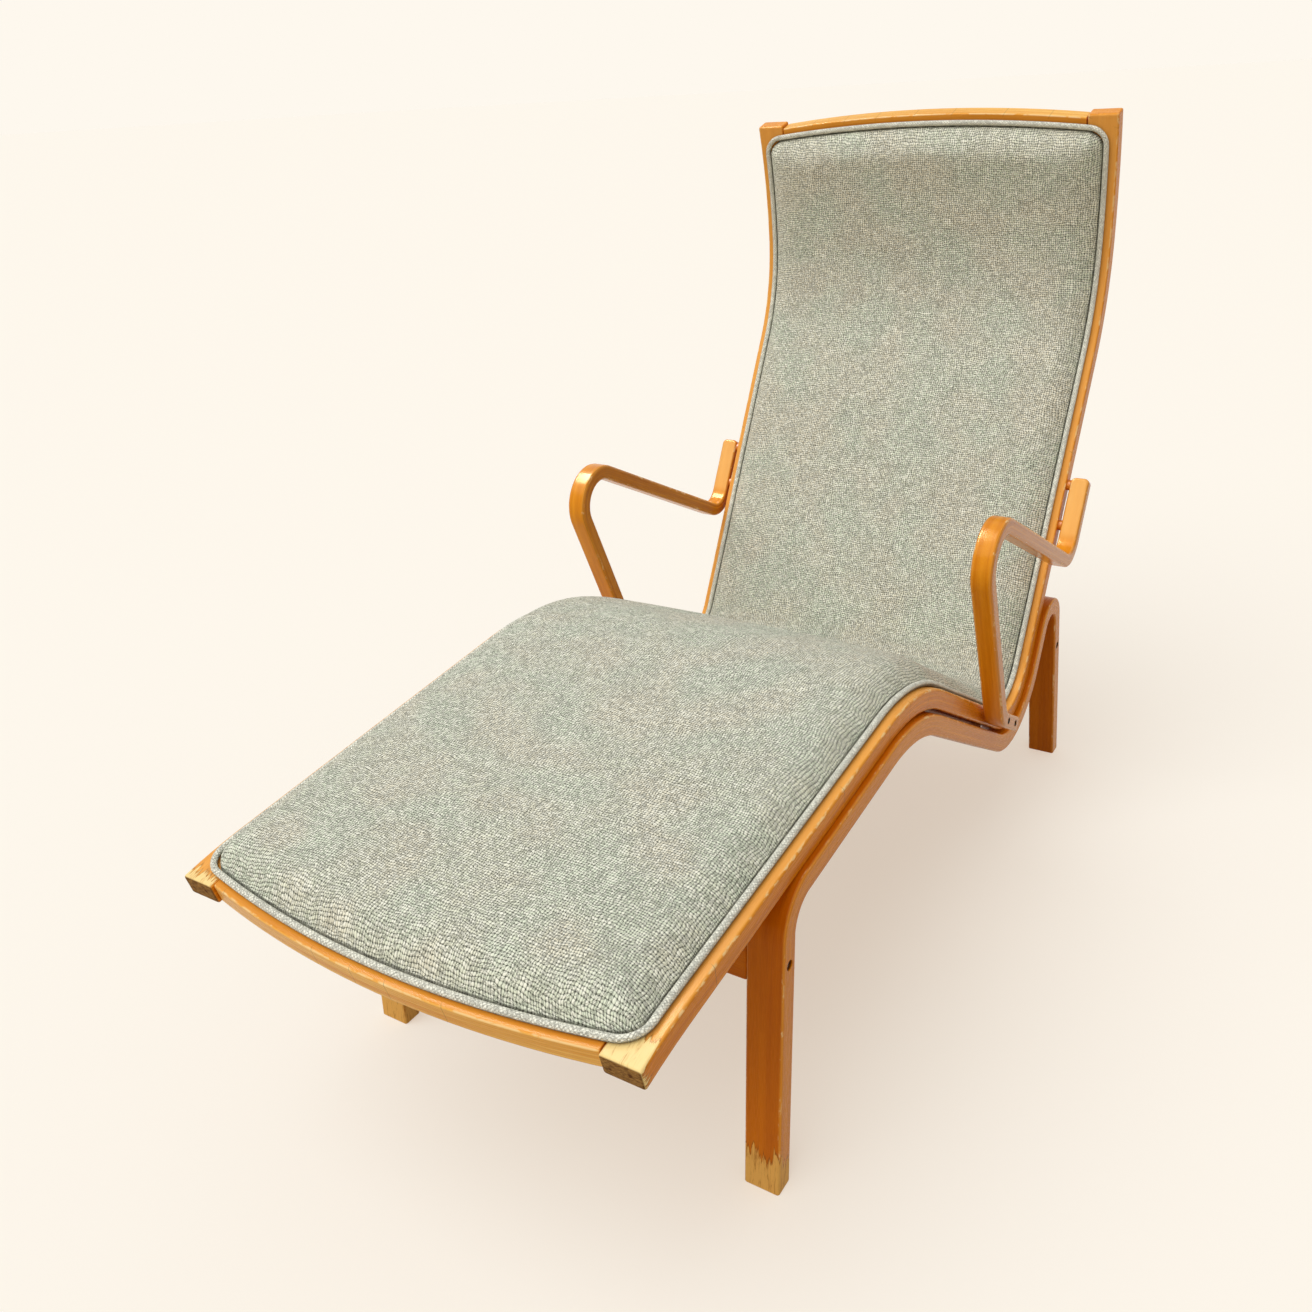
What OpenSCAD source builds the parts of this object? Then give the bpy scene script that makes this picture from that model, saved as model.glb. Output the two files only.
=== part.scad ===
// High-backed lounge chair in bent laminated wood.
// Two long side rails carry the leg rest, seat and back in one line. Each side stands on one bent
// base strip, which makes the front leg, the bearer under the rail, an arch and the rear leg.
// X runs across the chair, Y from the foot end to the back, Z up. The profile is drawn in Y and Z.

/* [Side rails] */
// Width over the two side rails
rail_span = 580; // [500:5:660]
// Width of one side rail, seen from above
rail_w = 44; // [38:1:52]
// Thickness of the side rail lamination
rail_t = 26; // [22:1:30]
// Height of the sitting line at its crest over the knees
knee_h = 441; // [420:1:470]
// Length of the gently bent toe end
toe_l = 79; // [70:1:100]
// Straight length of the leg rest
rest_l = 456; // [420:1:500]
// Straight length of the seat
seat_l = 317; // [290:1:340]
// Straight length of the back
back_l = 486; // [450:1:520]
// Length of the almost straight head end
head_l = 182; // [150:1:200]
// Slope of the toe end
toe_slope = 13.3; // [10:0.1:16]
// Slope of the leg rest, rising to the knee
rest_slope = 6.3; // [5:0.1:8]
// Slope of the seat, falling to the hip
seat_slope = 31; // [29:0.5:33]
// Slope of the back against the floor
back_slope = 61.5; // [60:0.5:64]
// Slope where the neck bend ends
neck_slope = 94; // [92:0.5:97]
// Slope at the top end
head_slope = 107; // [102:0.5:110]
// Bend radius over the knees
knee_r = 294; // [270:2:310]
// Bend radius at the hip
hip_r = 83; // [75:1:90]
// Bend radius behind the neck
neck_r = 301; // [280:1:330]

/* [Cross rails] */
// Width of a cross rail along the side rails
cross_w = 36; // [32:1:44]
// Thickness of a cross rail
cross_t = 25; // [16:1:26]
// How far the cross rails' ends lie behind the side rails' ends
cross_set = 4; // [2:0.5:8]
// Bow of the foot rail between its ends
foot_bow = 24; // [16:1:30]
// Bow of the head rail between its ends
head_bow = 14; // [8:1:20]

/* [Base strips] */
// Distance of the base strips' outer faces outside the side rails
base_out = 7; // [4:0.5:12]
// Width of one base strip, seen from the front
base_w = 43; // [36:1:50]
// Thickness of the base strip lamination
base_t = 27; // [24:1:30]
// Gap between side rail and base strip under the seat
seat_gap = 6; // [4:0.5:9]
// Distance from the knee bend's start back to the front leg
leg_set = 281; // [250:1:300]
// Lean of the front leg
front_rake = 3.2; // [1:0.1:5]
// Lean of the rear leg
rear_rake = 15; // [12:0.5:18]
// Length of the rising branch, from hip corner to arch corner
arch_l = 318; // [305:1:340]
// Outer bend radius of the front leg
shoulder_r = 63; // [55:1:75]
// Outer bend radius of the arch
arch_r = 55; // [50:1:58]

/* [Arms] */
// Width of an arm
arm_w = 28; // [24:1:34]
// Thickness of the arm lamination
arm_t = 21.5; // [18:0.5:24]
// Thickness of the spacers between arm and side rail
arm_spacer_t = 5; // [3:0.5:8]
// Height of the arm's crest above the floor
arm_h = 595; // [575:1:620]
// Distance along the seat from the knee bend to the arm's foot corner
arm_foot = 203; // [190:1:215]
// Length of the arm's tail behind its foot corner
arm_tail_l = 86; // [80:1:92]
// Lean of the arm's front upright
arm_lean = 23.4; // [20:0.2:26]
// Fall of the arm to the rear
arm_fall = 26.4; // [24:0.2:28]
// Straight length of the arm's rear upright
arm_rear_l = 94; // [85:1:115]
// Radius of the rounded corners at the arm's rear end
arm_end_r = 8; // [3:1:12]
// Outer bend radius at the arm's crest
arm_r = 57; // [50:1:62]

/* [Stretchers] */
// Height of a stretcher
stretcher_h = 58; // [50:1:64]
// Thickness of a stretcher
stretcher_t = 23; // [19:1:24]
// Height of the front stretcher's bolts above the floor
front_bolt_h = 300; // [280:1:310]
// Height of the rear stretcher's bolts above the floor
rear_bolt_h = 238; // [215:1:245]

/* [Pad] */
// Wood left bare beside the pad
pad_side = 11; // [8:1:16]
// Wood left bare at the foot and head ends
pad_end = 8; // [6:1:14]
// Diameter of the piping
piping_d = 8; // [6:0.5:10]
// Thickness of the pad along its middle
pad_t = 34; // [24:1:44]
// Width of the soft rounding along the pad's edge
pad_soft = 44; // [36:1:60]
// Radius of the pad's corners
pad_corner_r = 32; // [26:1:44]

/* [Webbing and fasteners] */
// Number of webbing straps
strap_n = 16; // [12:1:18]
// Width of a webbing strap
strap_w = 50; // [40:1:55]
// Thickness of a webbing strap
strap_t = 2; // [1.5:0.25:2.5]
// Depth of the straps below the sitting line
strap_drop = 7; // [6:0.5:9]
// Diameter of the stretcher bolts
bolt_d = 6; // [5:0.5:8]
// Diameter of the wood screws
screw_d = 5; // [4:0.5:6]
// Diameter of the dowels
dowel_d = 8; // [6:1:10]

/* [Hidden] */

wood = [0.86, 0.55, 0.22];
wood_dark = [0.74, 0.43, 0.13];
fabric = [0.72, 0.71, 0.63];
steel = [0.72, 0.72, 0.70];

bend_step = 4;     // largest turn between two points of a bend, degrees
pad_step = 6;      // the same for the pad
fit = 0.4;         // clearance of a soft piece from its neighbour
slip = 0.1;        // clearance round a fastener, on the diameter
joined = 0.5;      // overlap of two shapes of one piece
$fn = 48;

rail_in = rail_span / 2 - rail_w;
rail_out = rail_span / 2;
base_outer = rail_out + base_out;
base_inner = base_outer - base_w;
arm_inner = rail_out + arm_spacer_t;

// Profile tracks
// A move is [start point, heading, length, turn]. A track is a list of moves. Its left side is
// the sitting side, and the strip's thickness lies on its right.
function radians(a) = a * PI / 180;
function ahead(h) = [cos(h), sin(h)];
function beside(h) = [sin(h), -cos(h)];
function on_move(m, u) =
    m[3] == 0 ? [m[0] + u * ahead(m[1]), m[1]]
    : let (r = m[2] / radians(m[3]), a = m[1] + m[3] * u / m[2])
      [m[0] + r * [sin(a) - sin(m[1]), cos(m[1]) - cos(a)], a];
function trace(steps, p, h, i = 0) =
    i == len(steps) ? []
    : let (m = [p, h, steps[i][0], steps[i][1]], e = on_move(m, m[2]))
      concat([m], trace(steps, e[0], e[1], i + 1));
function arc(r, turn) = [r * radians(abs(turn)), turn];
function before(track, i) = i == 0 ? 0 : before(track, i - 1) + track[i - 1][2];
function length_of(track) = before(track, len(track));
function at(track, s, i = 0) =
    i == len(track) - 1 || s <= track[i][2] ? on_move(track[i], s)
    : at(track, s - track[i][2], i + 1);
function stations(track, step = bend_step) = concat(
    [
        for (i = [0:len(track) - 1])
            let (n = max(1, ceil(abs(track[i][3]) / step)))
                for (k = [0:n - 1]) before(track, i) + track[i][2] * k / n
    ],
    [length_of(track)]
);
function between(list, a, b) = concat([a], [for (s = list) if (s > a + 1 && s < b - 1) s], [b]);
function face(track, list, d) = [for (s = list) let (c = at(track, s)) c[0] + d * beside(c[1])];
function reversed(list) = [for (i = [len(list) - 1:-1:0]) list[i]];

// Lines are [point, heading]
function shifted(line, d) = [line[0] + d * beside(line[1]), line[1]];
function meet(a, b) =
    let (d = b[0] - a[0], u = ahead(a[1]), w = ahead(b[1]))
    a[0] + u * (d[0] * w[1] - d[1] * w[0]) / (u[0] * w[1] - u[1] * w[0]);

// Track round a list of corners, with a bend radius for each inner corner
function run(v, i) = atan2(v[i + 1][1] - v[i][1], v[i + 1][0] - v[i][0]);
function wrapped(a) = a > 180 ? a - 360 : a < -180 ? a + 360 : a;
function turn_at(v, i) = wrapped(run(v, i) - run(v, i - 1));
function set_back(v, r, i) =
    i == 0 || i == len(v) - 1 ? 0 : r[i - 1] * tan(abs(turn_at(v, i)) / 2);
function rounded(v, r) = [
    for (i = [0:len(v) - 2])
        let (h = run(v, i), a = set_back(v, r, i), b = set_back(v, r, i + 1))
        each concat(
            [[v[i] + a * ahead(h), h, norm(v[i + 1] - v[i]) - a - b, 0]],
            i < len(v) - 2
                ? [concat([v[i + 1] - b * ahead(h), h], arc(r[i], turn_at(v, i + 1)))]
                : []
        )
];

// Side rail's sitting line, first from the origin and then at its place
rail_steps = [
    [toe_l, rest_slope - toe_slope],
    [rest_l, 0],
    arc(knee_r, -rest_slope - seat_slope),
    [seat_l, 0],
    arc(hip_r, seat_slope + back_slope),
    [back_l, 0],
    arc(neck_r, neck_slope - back_slope),
    [head_l, head_slope - neck_slope]
];
raw_rail = trace(rail_steps, [0, 0], toe_slope);
cross_half = rail_in;
foot_r = (pow(cross_half, 2) + pow(foot_bow, 2)) / (2 * foot_bow);
head_r = (pow(cross_half, 2) + pow(head_bow, 2)) / (2 * head_bow);
raw_front = at(raw_rail, cross_set - foot_bow)[0][0];
raw_back = raw_rail[6][0][0] + neck_r * (1 - sin(back_slope)) + rail_t;
rail_start = [
    -(raw_front + raw_back) / 2,
    knee_h - raw_rail[2][0][1] - knee_r * (1 - cos(rest_slope))
];
rail = trace(rail_steps, rail_start, toe_slope);
rail_l = length_of(rail);
rest_line = [rail[1][0], rest_slope];
seat_line = [rail[3][0], -seat_slope];
back_line = [rail[5][0], back_slope];

// Base strip's outer line: front leg, bearer, dip, arch, rear leg
bearer = shifted(rest_line, rail_t);
under_seat = shifted(seat_line, rail_t + seat_gap);
behind_back = shifted(back_line, rail_t);
floor_line = [[0, 0], 0];
front_corner = meet(bearer, [[rail[2][0][0] - leg_set, 0], 90]);
hip_corner = meet(under_seat, behind_back);
arch_corner = hip_corner + arch_l * ahead(back_slope);
base_corners = [
    meet([front_corner, 90 - front_rake], floor_line),
    front_corner,
    meet(bearer, under_seat),
    hip_corner,
    arch_corner,
    meet([arch_corner, rear_rake - 90], floor_line)
];
base_hip_r = hip_r + rail_t + seat_gap / 2;
base = rounded(base_corners, [shoulder_r, knee_r - rail_t - seat_gap, base_hip_r, arch_r]);
base_l = length_of(base);
leg_cut = base_t;

// Arm's outer line: tail along the seat, front upright, arm, rear upright along the back
arm_inset = (rail_t - arm_t) / 2;
tail_line = shifted(seat_line, rail_t - arm_inset);
arm_rear_line = shifted(back_line, arm_inset);
arm_corner = tail_line[0] + arm_foot * ahead(-seat_slope);
upright_line = [arm_corner, 90 + arm_lean];
crest_centre = meet(shifted(upright_line, arm_r), [[0, arm_h - arm_r], 0]);
arm_top_line = shifted([crest_centre, -arm_fall], -arm_r);
arm_heel_r = 60;   // outer bend radius at the arm's foot
arm_elbow_r = 28;  // inner bend radius at the rear of the arm
arm_rear_corner = meet(arm_top_line, arm_rear_line);
elbow_back = arm_elbow_r * tan((back_slope + arm_fall) / 2);
arm_corners = [
    arm_corner + arm_tail_l * ahead(-seat_slope),
    arm_corner,
    meet(upright_line, arm_top_line),
    arm_rear_corner,
    arm_rear_corner + (elbow_back + arm_rear_l) * ahead(back_slope)
];
arm = rounded(arm_corners, [arm_heel_r, arm_r, arm_elbow_r]);
arm_l = length_of(arm);

// A bent strip: part of a track, from depth a to depth b, between two X planes
module bent_strip(track, from, to, a, b, x0, x1) {
    list = between(stations(track), from, to);
    rotate([90, 0, 90])
        translate([0, 0, x0])
            linear_extrude(x1 - x0)
                polygon(concat(face(track, list, a), reversed(face(track, list, b))));
}

// Local axes on a track: X across, Y along the track, Z out of its sitting side
module on_track(track, s) {
    c = at(track, s);
    translate([0, c[0][0], c[0][1]])
        rotate([c[1], 0, 0])
            children();
}

module both_sides() {
    children();
    mirror([1, 0, 0])
        children();
}

// Cylinder along X between two planes
module rod(d, x0, x1) {
    translate([x0, 0, 0])
        rotate([0, 90, 0])
            cylinder(d = d, h = x1 - x0);
}

// Webbing
clip_l = 12;
clip_t = strap_t + 3;
clip_wall = 1.3;
strap_margin = 100;
strap_places = [
    for (i = [0:strap_n - 1])
        strap_margin + i * (rail_l - 2 * strap_margin) / (strap_n - 1)
];

module strap_pockets() {
    for (s = strap_places)
        on_track(rail, s)
            translate([rail_in - 1, -strap_w / 2 - fit, -strap_drop - clip_t / 2 - fit])
                cube([clip_l + 1, strap_w + 2 * fit, clip_t + 2 * fit]);
}

// Dowels of the cross rails
cross_dowel_l = 40;
cross_dowel_shares = [0.28, 0.72];   // places in the cross rail's width
cross_dowel_places = [for (k = cross_dowel_shares) cross_set + cross_w * k];

module cross_dowels(extra) {
    for (p = cross_dowel_places) {
        for (s = [p, rail_l - p])
            on_track(rail, s)
                translate([0, 0, -cross_t / 2])
                    rod(
                        dowel_d + extra,
                        rail_in - cross_dowel_l / 2 - extra,
                        rail_in + cross_dowel_l / 2 + extra
                    );
    }
}

// Countersunk wood screw along -Z, with its head's top at the origin
screw_head_d = screw_d * 2;
screw_head_h = screw_d * 0.6;
module wood_screw(l, extra) {
    translate([0, 0, -l - extra])
        cylinder(d = screw_d + extra, h = l + extra);
    translate([0, 0, -screw_head_h])
        cylinder(d1 = screw_d + extra, d2 = screw_head_d + extra, h = screw_head_h);
    if (extra > 0)
        cylinder(d = screw_head_d + extra, h = 1);
}

// Screws that hold the base strips to the side rails, driven from below and behind
screw_bite = 0.6;                // share of the second piece that a wood screw reaches into
rail_screw_l = base_t + rail_t * screw_bite;
screw_x = (max(rail_in, base_inner) + rail_out) / 2;
bearer_screw_shares = [0.12, 0.88];   // places in the straight under the leg rest
riser_screw_shares = [0.3, 0.98];     // places in the straight behind the back
bearer_screws = [for (k = bearer_screw_shares) before(base, 2) + base[2][2] * k];
riser_screws = [for (k = riser_screw_shares) before(base, 6) + base[6][2] * k];

module base_screws(extra) {
    for (s = concat(bearer_screws, riser_screws))
        on_track(base, s)
            translate([screw_x, 0, -base_t])
                mirror([0, 0, 1])
                    wood_screw(rail_screw_l, extra);
}

// Screws of the arms: two from outside at the foot, two from inside the rail at the back
arm_screw_y = arm_t / 2;
foot_screw_places = [20, 62];         // from the tail's end
back_screw_shares = [0.12, 0.8];      // places in the rear upright, from its top
back_screw_places = [for (k = back_screw_shares) arm_rear_l * k];
head_recess_d = 10.5;
head_recess = 7;
pan_head_d = head_recess_d - 1.5;
pan_head_h = 3.5;
foot_screw_l = arm_w - head_recess + arm_spacer_t + rail_w * screw_bite;
back_screw_l = rail_w + arm_spacer_t + arm_w * screw_bite;

module arm_foot_places() {
    for (p = foot_screw_places)
        on_track(arm, p)
            translate([0, 0, -arm_screw_y])
                children();
}

module arm_back_places() {
    for (p = back_screw_places)
        on_track(arm, arm_l - p)
            translate([0, 0, -arm_screw_y])
                children();
}

module foot_screws(extra) {
    head_x = arm_inner + arm_w - head_recess;
    arm_foot_places() {
        rod(screw_d + extra, head_x - foot_screw_l - extra, head_x + joined);
        rod(pan_head_d + extra, head_x, head_x + pan_head_h);
    }
}

module foot_screw_recesses() {
    arm_foot_places()
        rod(head_recess_d, arm_inner + arm_w - head_recess, arm_inner + arm_w + 1);
}

module back_screws(extra) {
    arm_back_places()
        translate([rail_in, 0, 0])
            rotate([0, -90, 0])
                wood_screw(back_screw_l, extra);
}

module side_rail() {
    color(wood)
        difference() {
            bent_strip(rail, 0, rail_l, 0, rail_t, rail_in, rail_out);
            strap_pockets();
            cross_dowels(slip);
            base_screws(slip);
            foot_screws(slip);
            back_screws(slip);
        }
}

module side_rail_right() {
    side_rail();
}

module side_rail_left() {
    mirror([1, 0, 0])
        side_rail();
}

// Bowed cross rail: a ring sector cut to the side rails' own profile
module bow_ring(r, w) {
    difference() {
        circle(r = r, $fn = 240);
        circle(r = r - w, $fn = 240);
    }
}

module foot_rail() {
    color(wood)
        difference() {
            intersection() {
                bent_strip(rail, cross_set - foot_bow - 5, cross_set + cross_w + 5,
                    0, cross_t, -cross_half, cross_half);
                on_track(rail, 0)
                    translate([0, cross_set - foot_bow + foot_r, -cross_t * 2])
                        linear_extrude(cross_t * 4)
                            bow_ring(foot_r, cross_w);
            }
            both_sides()
                cross_dowels(slip);
        }
}

module head_rail() {
    color(wood)
        difference() {
            intersection() {
                bent_strip(rail, rail_l - cross_set - cross_w - 5, rail_l - cross_set + head_bow + 5,
                    0, cross_t, -cross_half, cross_half);
                on_track(rail, rail_l)
                    translate([0, head_bow - cross_set - head_r, -cross_t * 2])
                        linear_extrude(cross_t * 4)
                            bow_ring(head_r, cross_w);
            }
            both_sides()
                cross_dowels(slip);
        }
}

// Stretcher joints: a bolt through the leg into a barrel nut, between two dowels
bolt_head_d = bolt_d * 1.8;
bolt_head_h = bolt_d * 0.8;
bolt_recess = 8;
bolt_recess_d = bolt_head_d + 1.2;
nut_d = 10;
nut_h = stretcher_t * 0.7;
nut_in = 30;       // from the leg's inner face to the nut
bolt_tip = 6;      // bolt's length beyond the nut's middle
joint_dowel_l = 36;
joint_dowel_y = stretcher_h * 0.32;
front_bolt_s = front_bolt_h / cos(front_rake);
rear_bolt_s = base_l - rear_bolt_h / cos(rear_rake);

module in_legs() {
    for (s = [front_bolt_s, rear_bolt_s])
        on_track(base, s)
            translate([0, 0, -base_t / 2])
                children();
}

module leg_bolt(extra) {
    head_x = base_outer - bolt_recess;
    rod(bolt_d + extra, base_inner - nut_in - bolt_tip - extra, head_x + joined);
    rod(bolt_head_d + extra, head_x, head_x + bolt_head_h);
}

module leg_bolt_recess() {
    rod(bolt_recess_d, base_outer - bolt_recess, base_outer + 1);
}

module leg_dowels(extra) {
    for (y = [-joint_dowel_y, joint_dowel_y])
        translate([0, y, 0])
            rod(
                dowel_d + extra,
                base_inner - joint_dowel_l / 2 - extra,
                base_inner + joint_dowel_l / 2 + extra
            );
}

module barrel_nut_solid(extra) {
    translate([base_inner - nut_in, 0, -stretcher_t / 2 - (extra > 0 ? 1 : -1)])
        cylinder(d = nut_d + extra, h = nut_h + (extra > 0 ? 2 : 0));
}

module base_strip() {
    color(wood_dark)
        difference() {
            bent_strip(base, -leg_cut, base_l + leg_cut, 0, base_t, base_inner, base_outer);
            translate([0, -rail_l, -2 * leg_cut])
                cube([rail_span, 2 * rail_l, 2 * leg_cut]);
            in_legs() {
                leg_bolt(slip);
                leg_bolt_recess();
                leg_dowels(slip);
            }
            base_screws(slip);
        }
}

module base_strip_right() {
    base_strip();
}

module base_strip_left() {
    mirror([1, 0, 0])
        base_strip();
}

module stretcher(s) {
    color(wood_dark)
        on_track(base, s)
            translate([0, 0, -base_t / 2])
                difference() {
                    translate([-base_inner, -stretcher_h / 2, -stretcher_t / 2])
                        cube([2 * base_inner, stretcher_h, stretcher_t]);
                    both_sides() {
                        leg_bolt(slip);
                        leg_dowels(slip);
                        barrel_nut_solid(slip);
                    }
                }
}

module front_stretcher() {
    stretcher(front_bolt_s);
}

module rear_stretcher() {
    stretcher(rear_bolt_s);
}

module stretcher_bolts() {
    color(steel)
        both_sides()
            in_legs()
                leg_bolt(0);
}

module stretcher_barrel_nuts() {
    color(steel)
        both_sides()
            in_legs()
                difference() {
                    barrel_nut_solid(0);
                    leg_bolt(slip);
                }
}

module stretcher_dowels() {
    color(wood)
        both_sides()
            in_legs()
                leg_dowels(0);
}

module cross_rail_dowels() {
    color(wood)
        both_sides()
            cross_dowels(0);
}

module rail_screws() {
    color(steel)
        both_sides()
            base_screws(0);
}

// What is sawn off the two corners at the arm's rear end
arm_end_over = 0.3;
module arm_end_corners() {
    on_track(arm, arm_l)
        translate([arm_inner + arm_w / 2, 0, -arm_t - 1])
            linear_extrude(arm_t + 2)
                for (side = [-1, 1])
                    translate([side * (arm_w / 2 - arm_end_r), -arm_end_r])
                        difference() {
                            translate([side < 0 ? -arm_end_r - 1 : 0, 0])
                                square(arm_end_r + 1);
                            circle(r = arm_end_r + arm_end_over);
                        }
}

module arm_side() {
    color(wood)
        difference() {
            bent_strip(arm, 0, arm_l, 0, arm_t, arm_inner, arm_inner + arm_w);
            arm_end_corners();
            foot_screws(slip);
            foot_screw_recesses();
            back_screws(slip);
        }
}

module arm_right() {
    arm_side();
}

module arm_left() {
    mirror([1, 0, 0])
        arm_side();
}

module arm_foot_screws() {
    color(steel)
        both_sides()
            foot_screws(0);
}

module arm_back_screws() {
    color(steel)
        both_sides()
            back_screws(0);
}

spacer_d = screw_d * 3.2;
module spacer_disc() {
    difference() {
        rod(spacer_d, rail_out, arm_inner);
        rod(screw_d + slip, rail_out - 1, arm_inner + 1);
    }
}

module arm_spacers() {
    color(wood_dark)
        both_sides() {
            arm_foot_places()
                spacer_disc();
            arm_back_places()
                spacer_disc();
        }
}

module webbing_straps() {
    reach = rail_in + clip_l - clip_wall - fit;
    color("tan")
        for (s = strap_places)
            on_track(rail, s)
                translate([-reach, -strap_w / 2, -strap_drop - strap_t / 2])
                    cube([2 * reach, strap_w, strap_t]);
}

module webbing_clip() {
    translate([rail_in, -strap_w / 2, -strap_drop - clip_t / 2])
        difference() {
            cube([clip_l, strap_w, clip_t]);
            translate([-1, -1, clip_t / 2 - strap_t / 2 - slip])
                cube([clip_l - clip_wall + 1, strap_w + 2, strap_t + 2 * slip]);
        }
}

module webbing_clips() {
    color(steel)
        both_sides()
            for (s = strap_places)
                on_track(rail, s)
                    webbing_clip();
}

// Pad plan: X across, and S along the rail's sitting line
pad_half = rail_out - pad_side;
pad_foot = cross_set - foot_bow + pad_end;
pad_head = rail_l - cross_set + head_bow - pad_end;
pad_bow_l = 130;   // length over which the bowed ends fade out, behind the corners
lining_t = 1;
cover_t = 1.2;
edge_t = 5;        // height of the cover's edge beside the piping
crown = 5;         // extra height of the pad along its middle
hip_fill = 3;      // extra height where the cloth spans the hip bend
hip_fill_l = 120;  // reach of that fill, each way
hip_s = before(rail, 4) + rail[4][2] / 2;
function sag(r, x) = r - sqrt(r * r - x * x);
function ease(t) = let (k = min(max(t, 0), 1)) k * k * (3 - 2 * k);
function fade(d) = 1 - ease((d - pad_corner_r) / pad_bow_l);
// Place along the rail of a plan point that lies x across and s along the pad's middle line
function plan_s(x, s) =
    s + sag(foot_r, x) * fade(s - pad_foot) - sag(head_r, x) * fade(pad_head - s);
// Half width of the pad at a distance d from its end, drawn in by an inset
function half_at(d, inset) =
    let (r = pad_corner_r - inset, e = min(max(d, 0), r))
    pad_half - inset - r + sqrt(r * r - pow(r - e, 2));
function soft_rise(e) = 1 - pow(1 - min(max(e, 0), pad_soft) / pad_soft, 2.2);
function pad_rise(x, s, d, w) =
    let (soft = soft_rise(min(w - abs(x), d)), middle = 1 - pow(x / pad_half, 2))
    let (span = 1 - ease(abs(s - hip_s) / hip_fill_l))
    edge_t + soft * (pad_t - crown - edge_t + crown * middle + hip_fill * span);
function above(x, s, h) = let (c = at(rail, s)) [x, each c[0] - h * beside(c[1])];

end_steps = [0, 0.04, 0.15, 0.35, 0.65, 1];
cross_steps = [-1, -0.985, -0.95, -0.87, -0.7, -0.35, 0, 0.35, 0.7, 0.87, 0.95, 0.985, 1];
function pad_rows(inset) =
    let (a = pad_foot + inset, b = pad_head - inset, r = pad_corner_r)
    concat(
        [for (k = end_steps) a + r * k],
        [for (s = stations(rail, pad_step)) if (s > a + r + 8 && s < b - r - 8) s],
        [for (k = reversed(end_steps)) b - r * k]
    );

// Solid between an upper and a lower grid of points with the same rows and columns
module grid_solid(upper, lower) {
    rows = len(upper);
    cols = len(upper[0]);
    n = rows * cols;
    function u(i, j) = i * cols + j;
    function l(i, j) = n + i * cols + j;
    rim = concat(
        [for (j = [0:cols - 2]) [0, j]],
        [for (i = [0:rows - 2]) [i, cols - 1]],
        [for (j = [cols - 1:-1:1]) [rows - 1, j]],
        [for (i = [rows - 1:-1:1]) [i, 0]]
    );
    m = len(rim);
    polyhedron(
        concat([for (row = upper) each row], [for (row = lower) each row]),
        concat(
            [for (i = [0:rows - 2], j = [0:cols - 2])
                each [[u(i, j), u(i + 1, j), u(i + 1, j + 1)], [u(i, j), u(i + 1, j + 1), u(i, j + 1)]]],
            [for (i = [0:rows - 2], j = [0:cols - 2])
                each [[l(i, j), l(i + 1, j + 1), l(i + 1, j)], [l(i, j), l(i, j + 1), l(i + 1, j + 1)]]],
            [for (k = [0:m - 1])
                let (p = rim[k], q = rim[(k + 1) % m])
                each [
                    [u(p[0], p[1]), u(q[0], q[1]), l(q[0], q[1])],
                    [u(p[0], p[1]), l(q[0], q[1]), l(p[0], p[1])]
                ]]
        )
    );
}

// Heights of the pad over the sitting line at a plan point of the cover
pad_low = fit + lining_t + fit;
cover_inset = piping_d + 2 * fit;
cover_cols = len(cross_steps);
cover_rows = pad_rows(cover_inset);
function pad_point(i, j, h) =
    let (s = cover_rows[i], d = min(s - pad_foot, pad_head - s) - cover_inset,
        w = half_at(d, cover_inset), x = cross_steps[j] * w)
    above(x, plan_s(x, s), h < 0 ? pad_low : pad_rise(x, s, d, pad_half - cover_inset) - h);
// Grid of rows and columns, a few of them left out all round, at a drop below the pad's top.
// A negative drop gives the flat underside.
function pad_grid(out, drop) = [
    for (i = [out:len(cover_rows) - 1 - out])
        [for (j = [out:cover_cols - 1 - out]) pad_point(i, j, drop)]
];
function on_rim(i, j) = i == 0 || j == 0 || i == len(cover_rows) - 1 || j == cover_cols - 1;

module pad_cover() {
    under = [
        for (i = [0:len(cover_rows) - 1])
            [for (j = [0:cover_cols - 1]) pad_point(i, j, on_rim(i, j) ? -1 : cover_t)]
    ];
    color(fabric)
        grid_solid(pad_grid(0, 0), under);
}

module pad_foam() {
    color("ivory")
        grid_solid(pad_grid(1, cover_t + fit), pad_grid(1, -1));
}

module pad_lining() {
    edge = piping_d + pad_corner_r * 0.75;
    color("beige")
        bent_strip(
            rail, pad_foot + foot_bow + edge, pad_head - head_bow - edge,
            -fit - lining_t, -fit, piping_d + fit - pad_half, pad_half - piping_d - fit
        );
}

// Piping: a closed tube round the pad plan
piping_sides = 8;
piping_inset = piping_d / 2;
corner_turns = [0:15:90];
function piping_plan() =
    let (
        r = pad_corner_r - piping_inset,
        w = pad_half - piping_inset - r,
        a = pad_foot + piping_inset + r,
        b = pad_head - piping_inset - r,
        side = [for (s = stations(rail, pad_step)) if (s > a + 8 && s < b - 8) s],
        corner = [for (q = corner_turns) [w + r * sin(q), r * cos(q)]],
        across = [for (k = [-0.8:0.2:0.8]) k * w],
        foot = [for (c = corner) [c[0], a - c[1]]],
        head = [for (c = reversed(corner)) [c[0], b + c[1]]]
    )
    concat(
        [for (x = across) [x, a - r]],
        foot,
        [for (s = side) [w + r, s]],
        head,
        [for (x = reversed(across)) [x, b + r]],
        [for (c = reversed(head)) [-c[0], c[1]]],
        [for (s = reversed(side)) [-w - r, s]],
        [for (c = reversed(foot)) [-c[0], c[1]]]
    );

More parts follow.
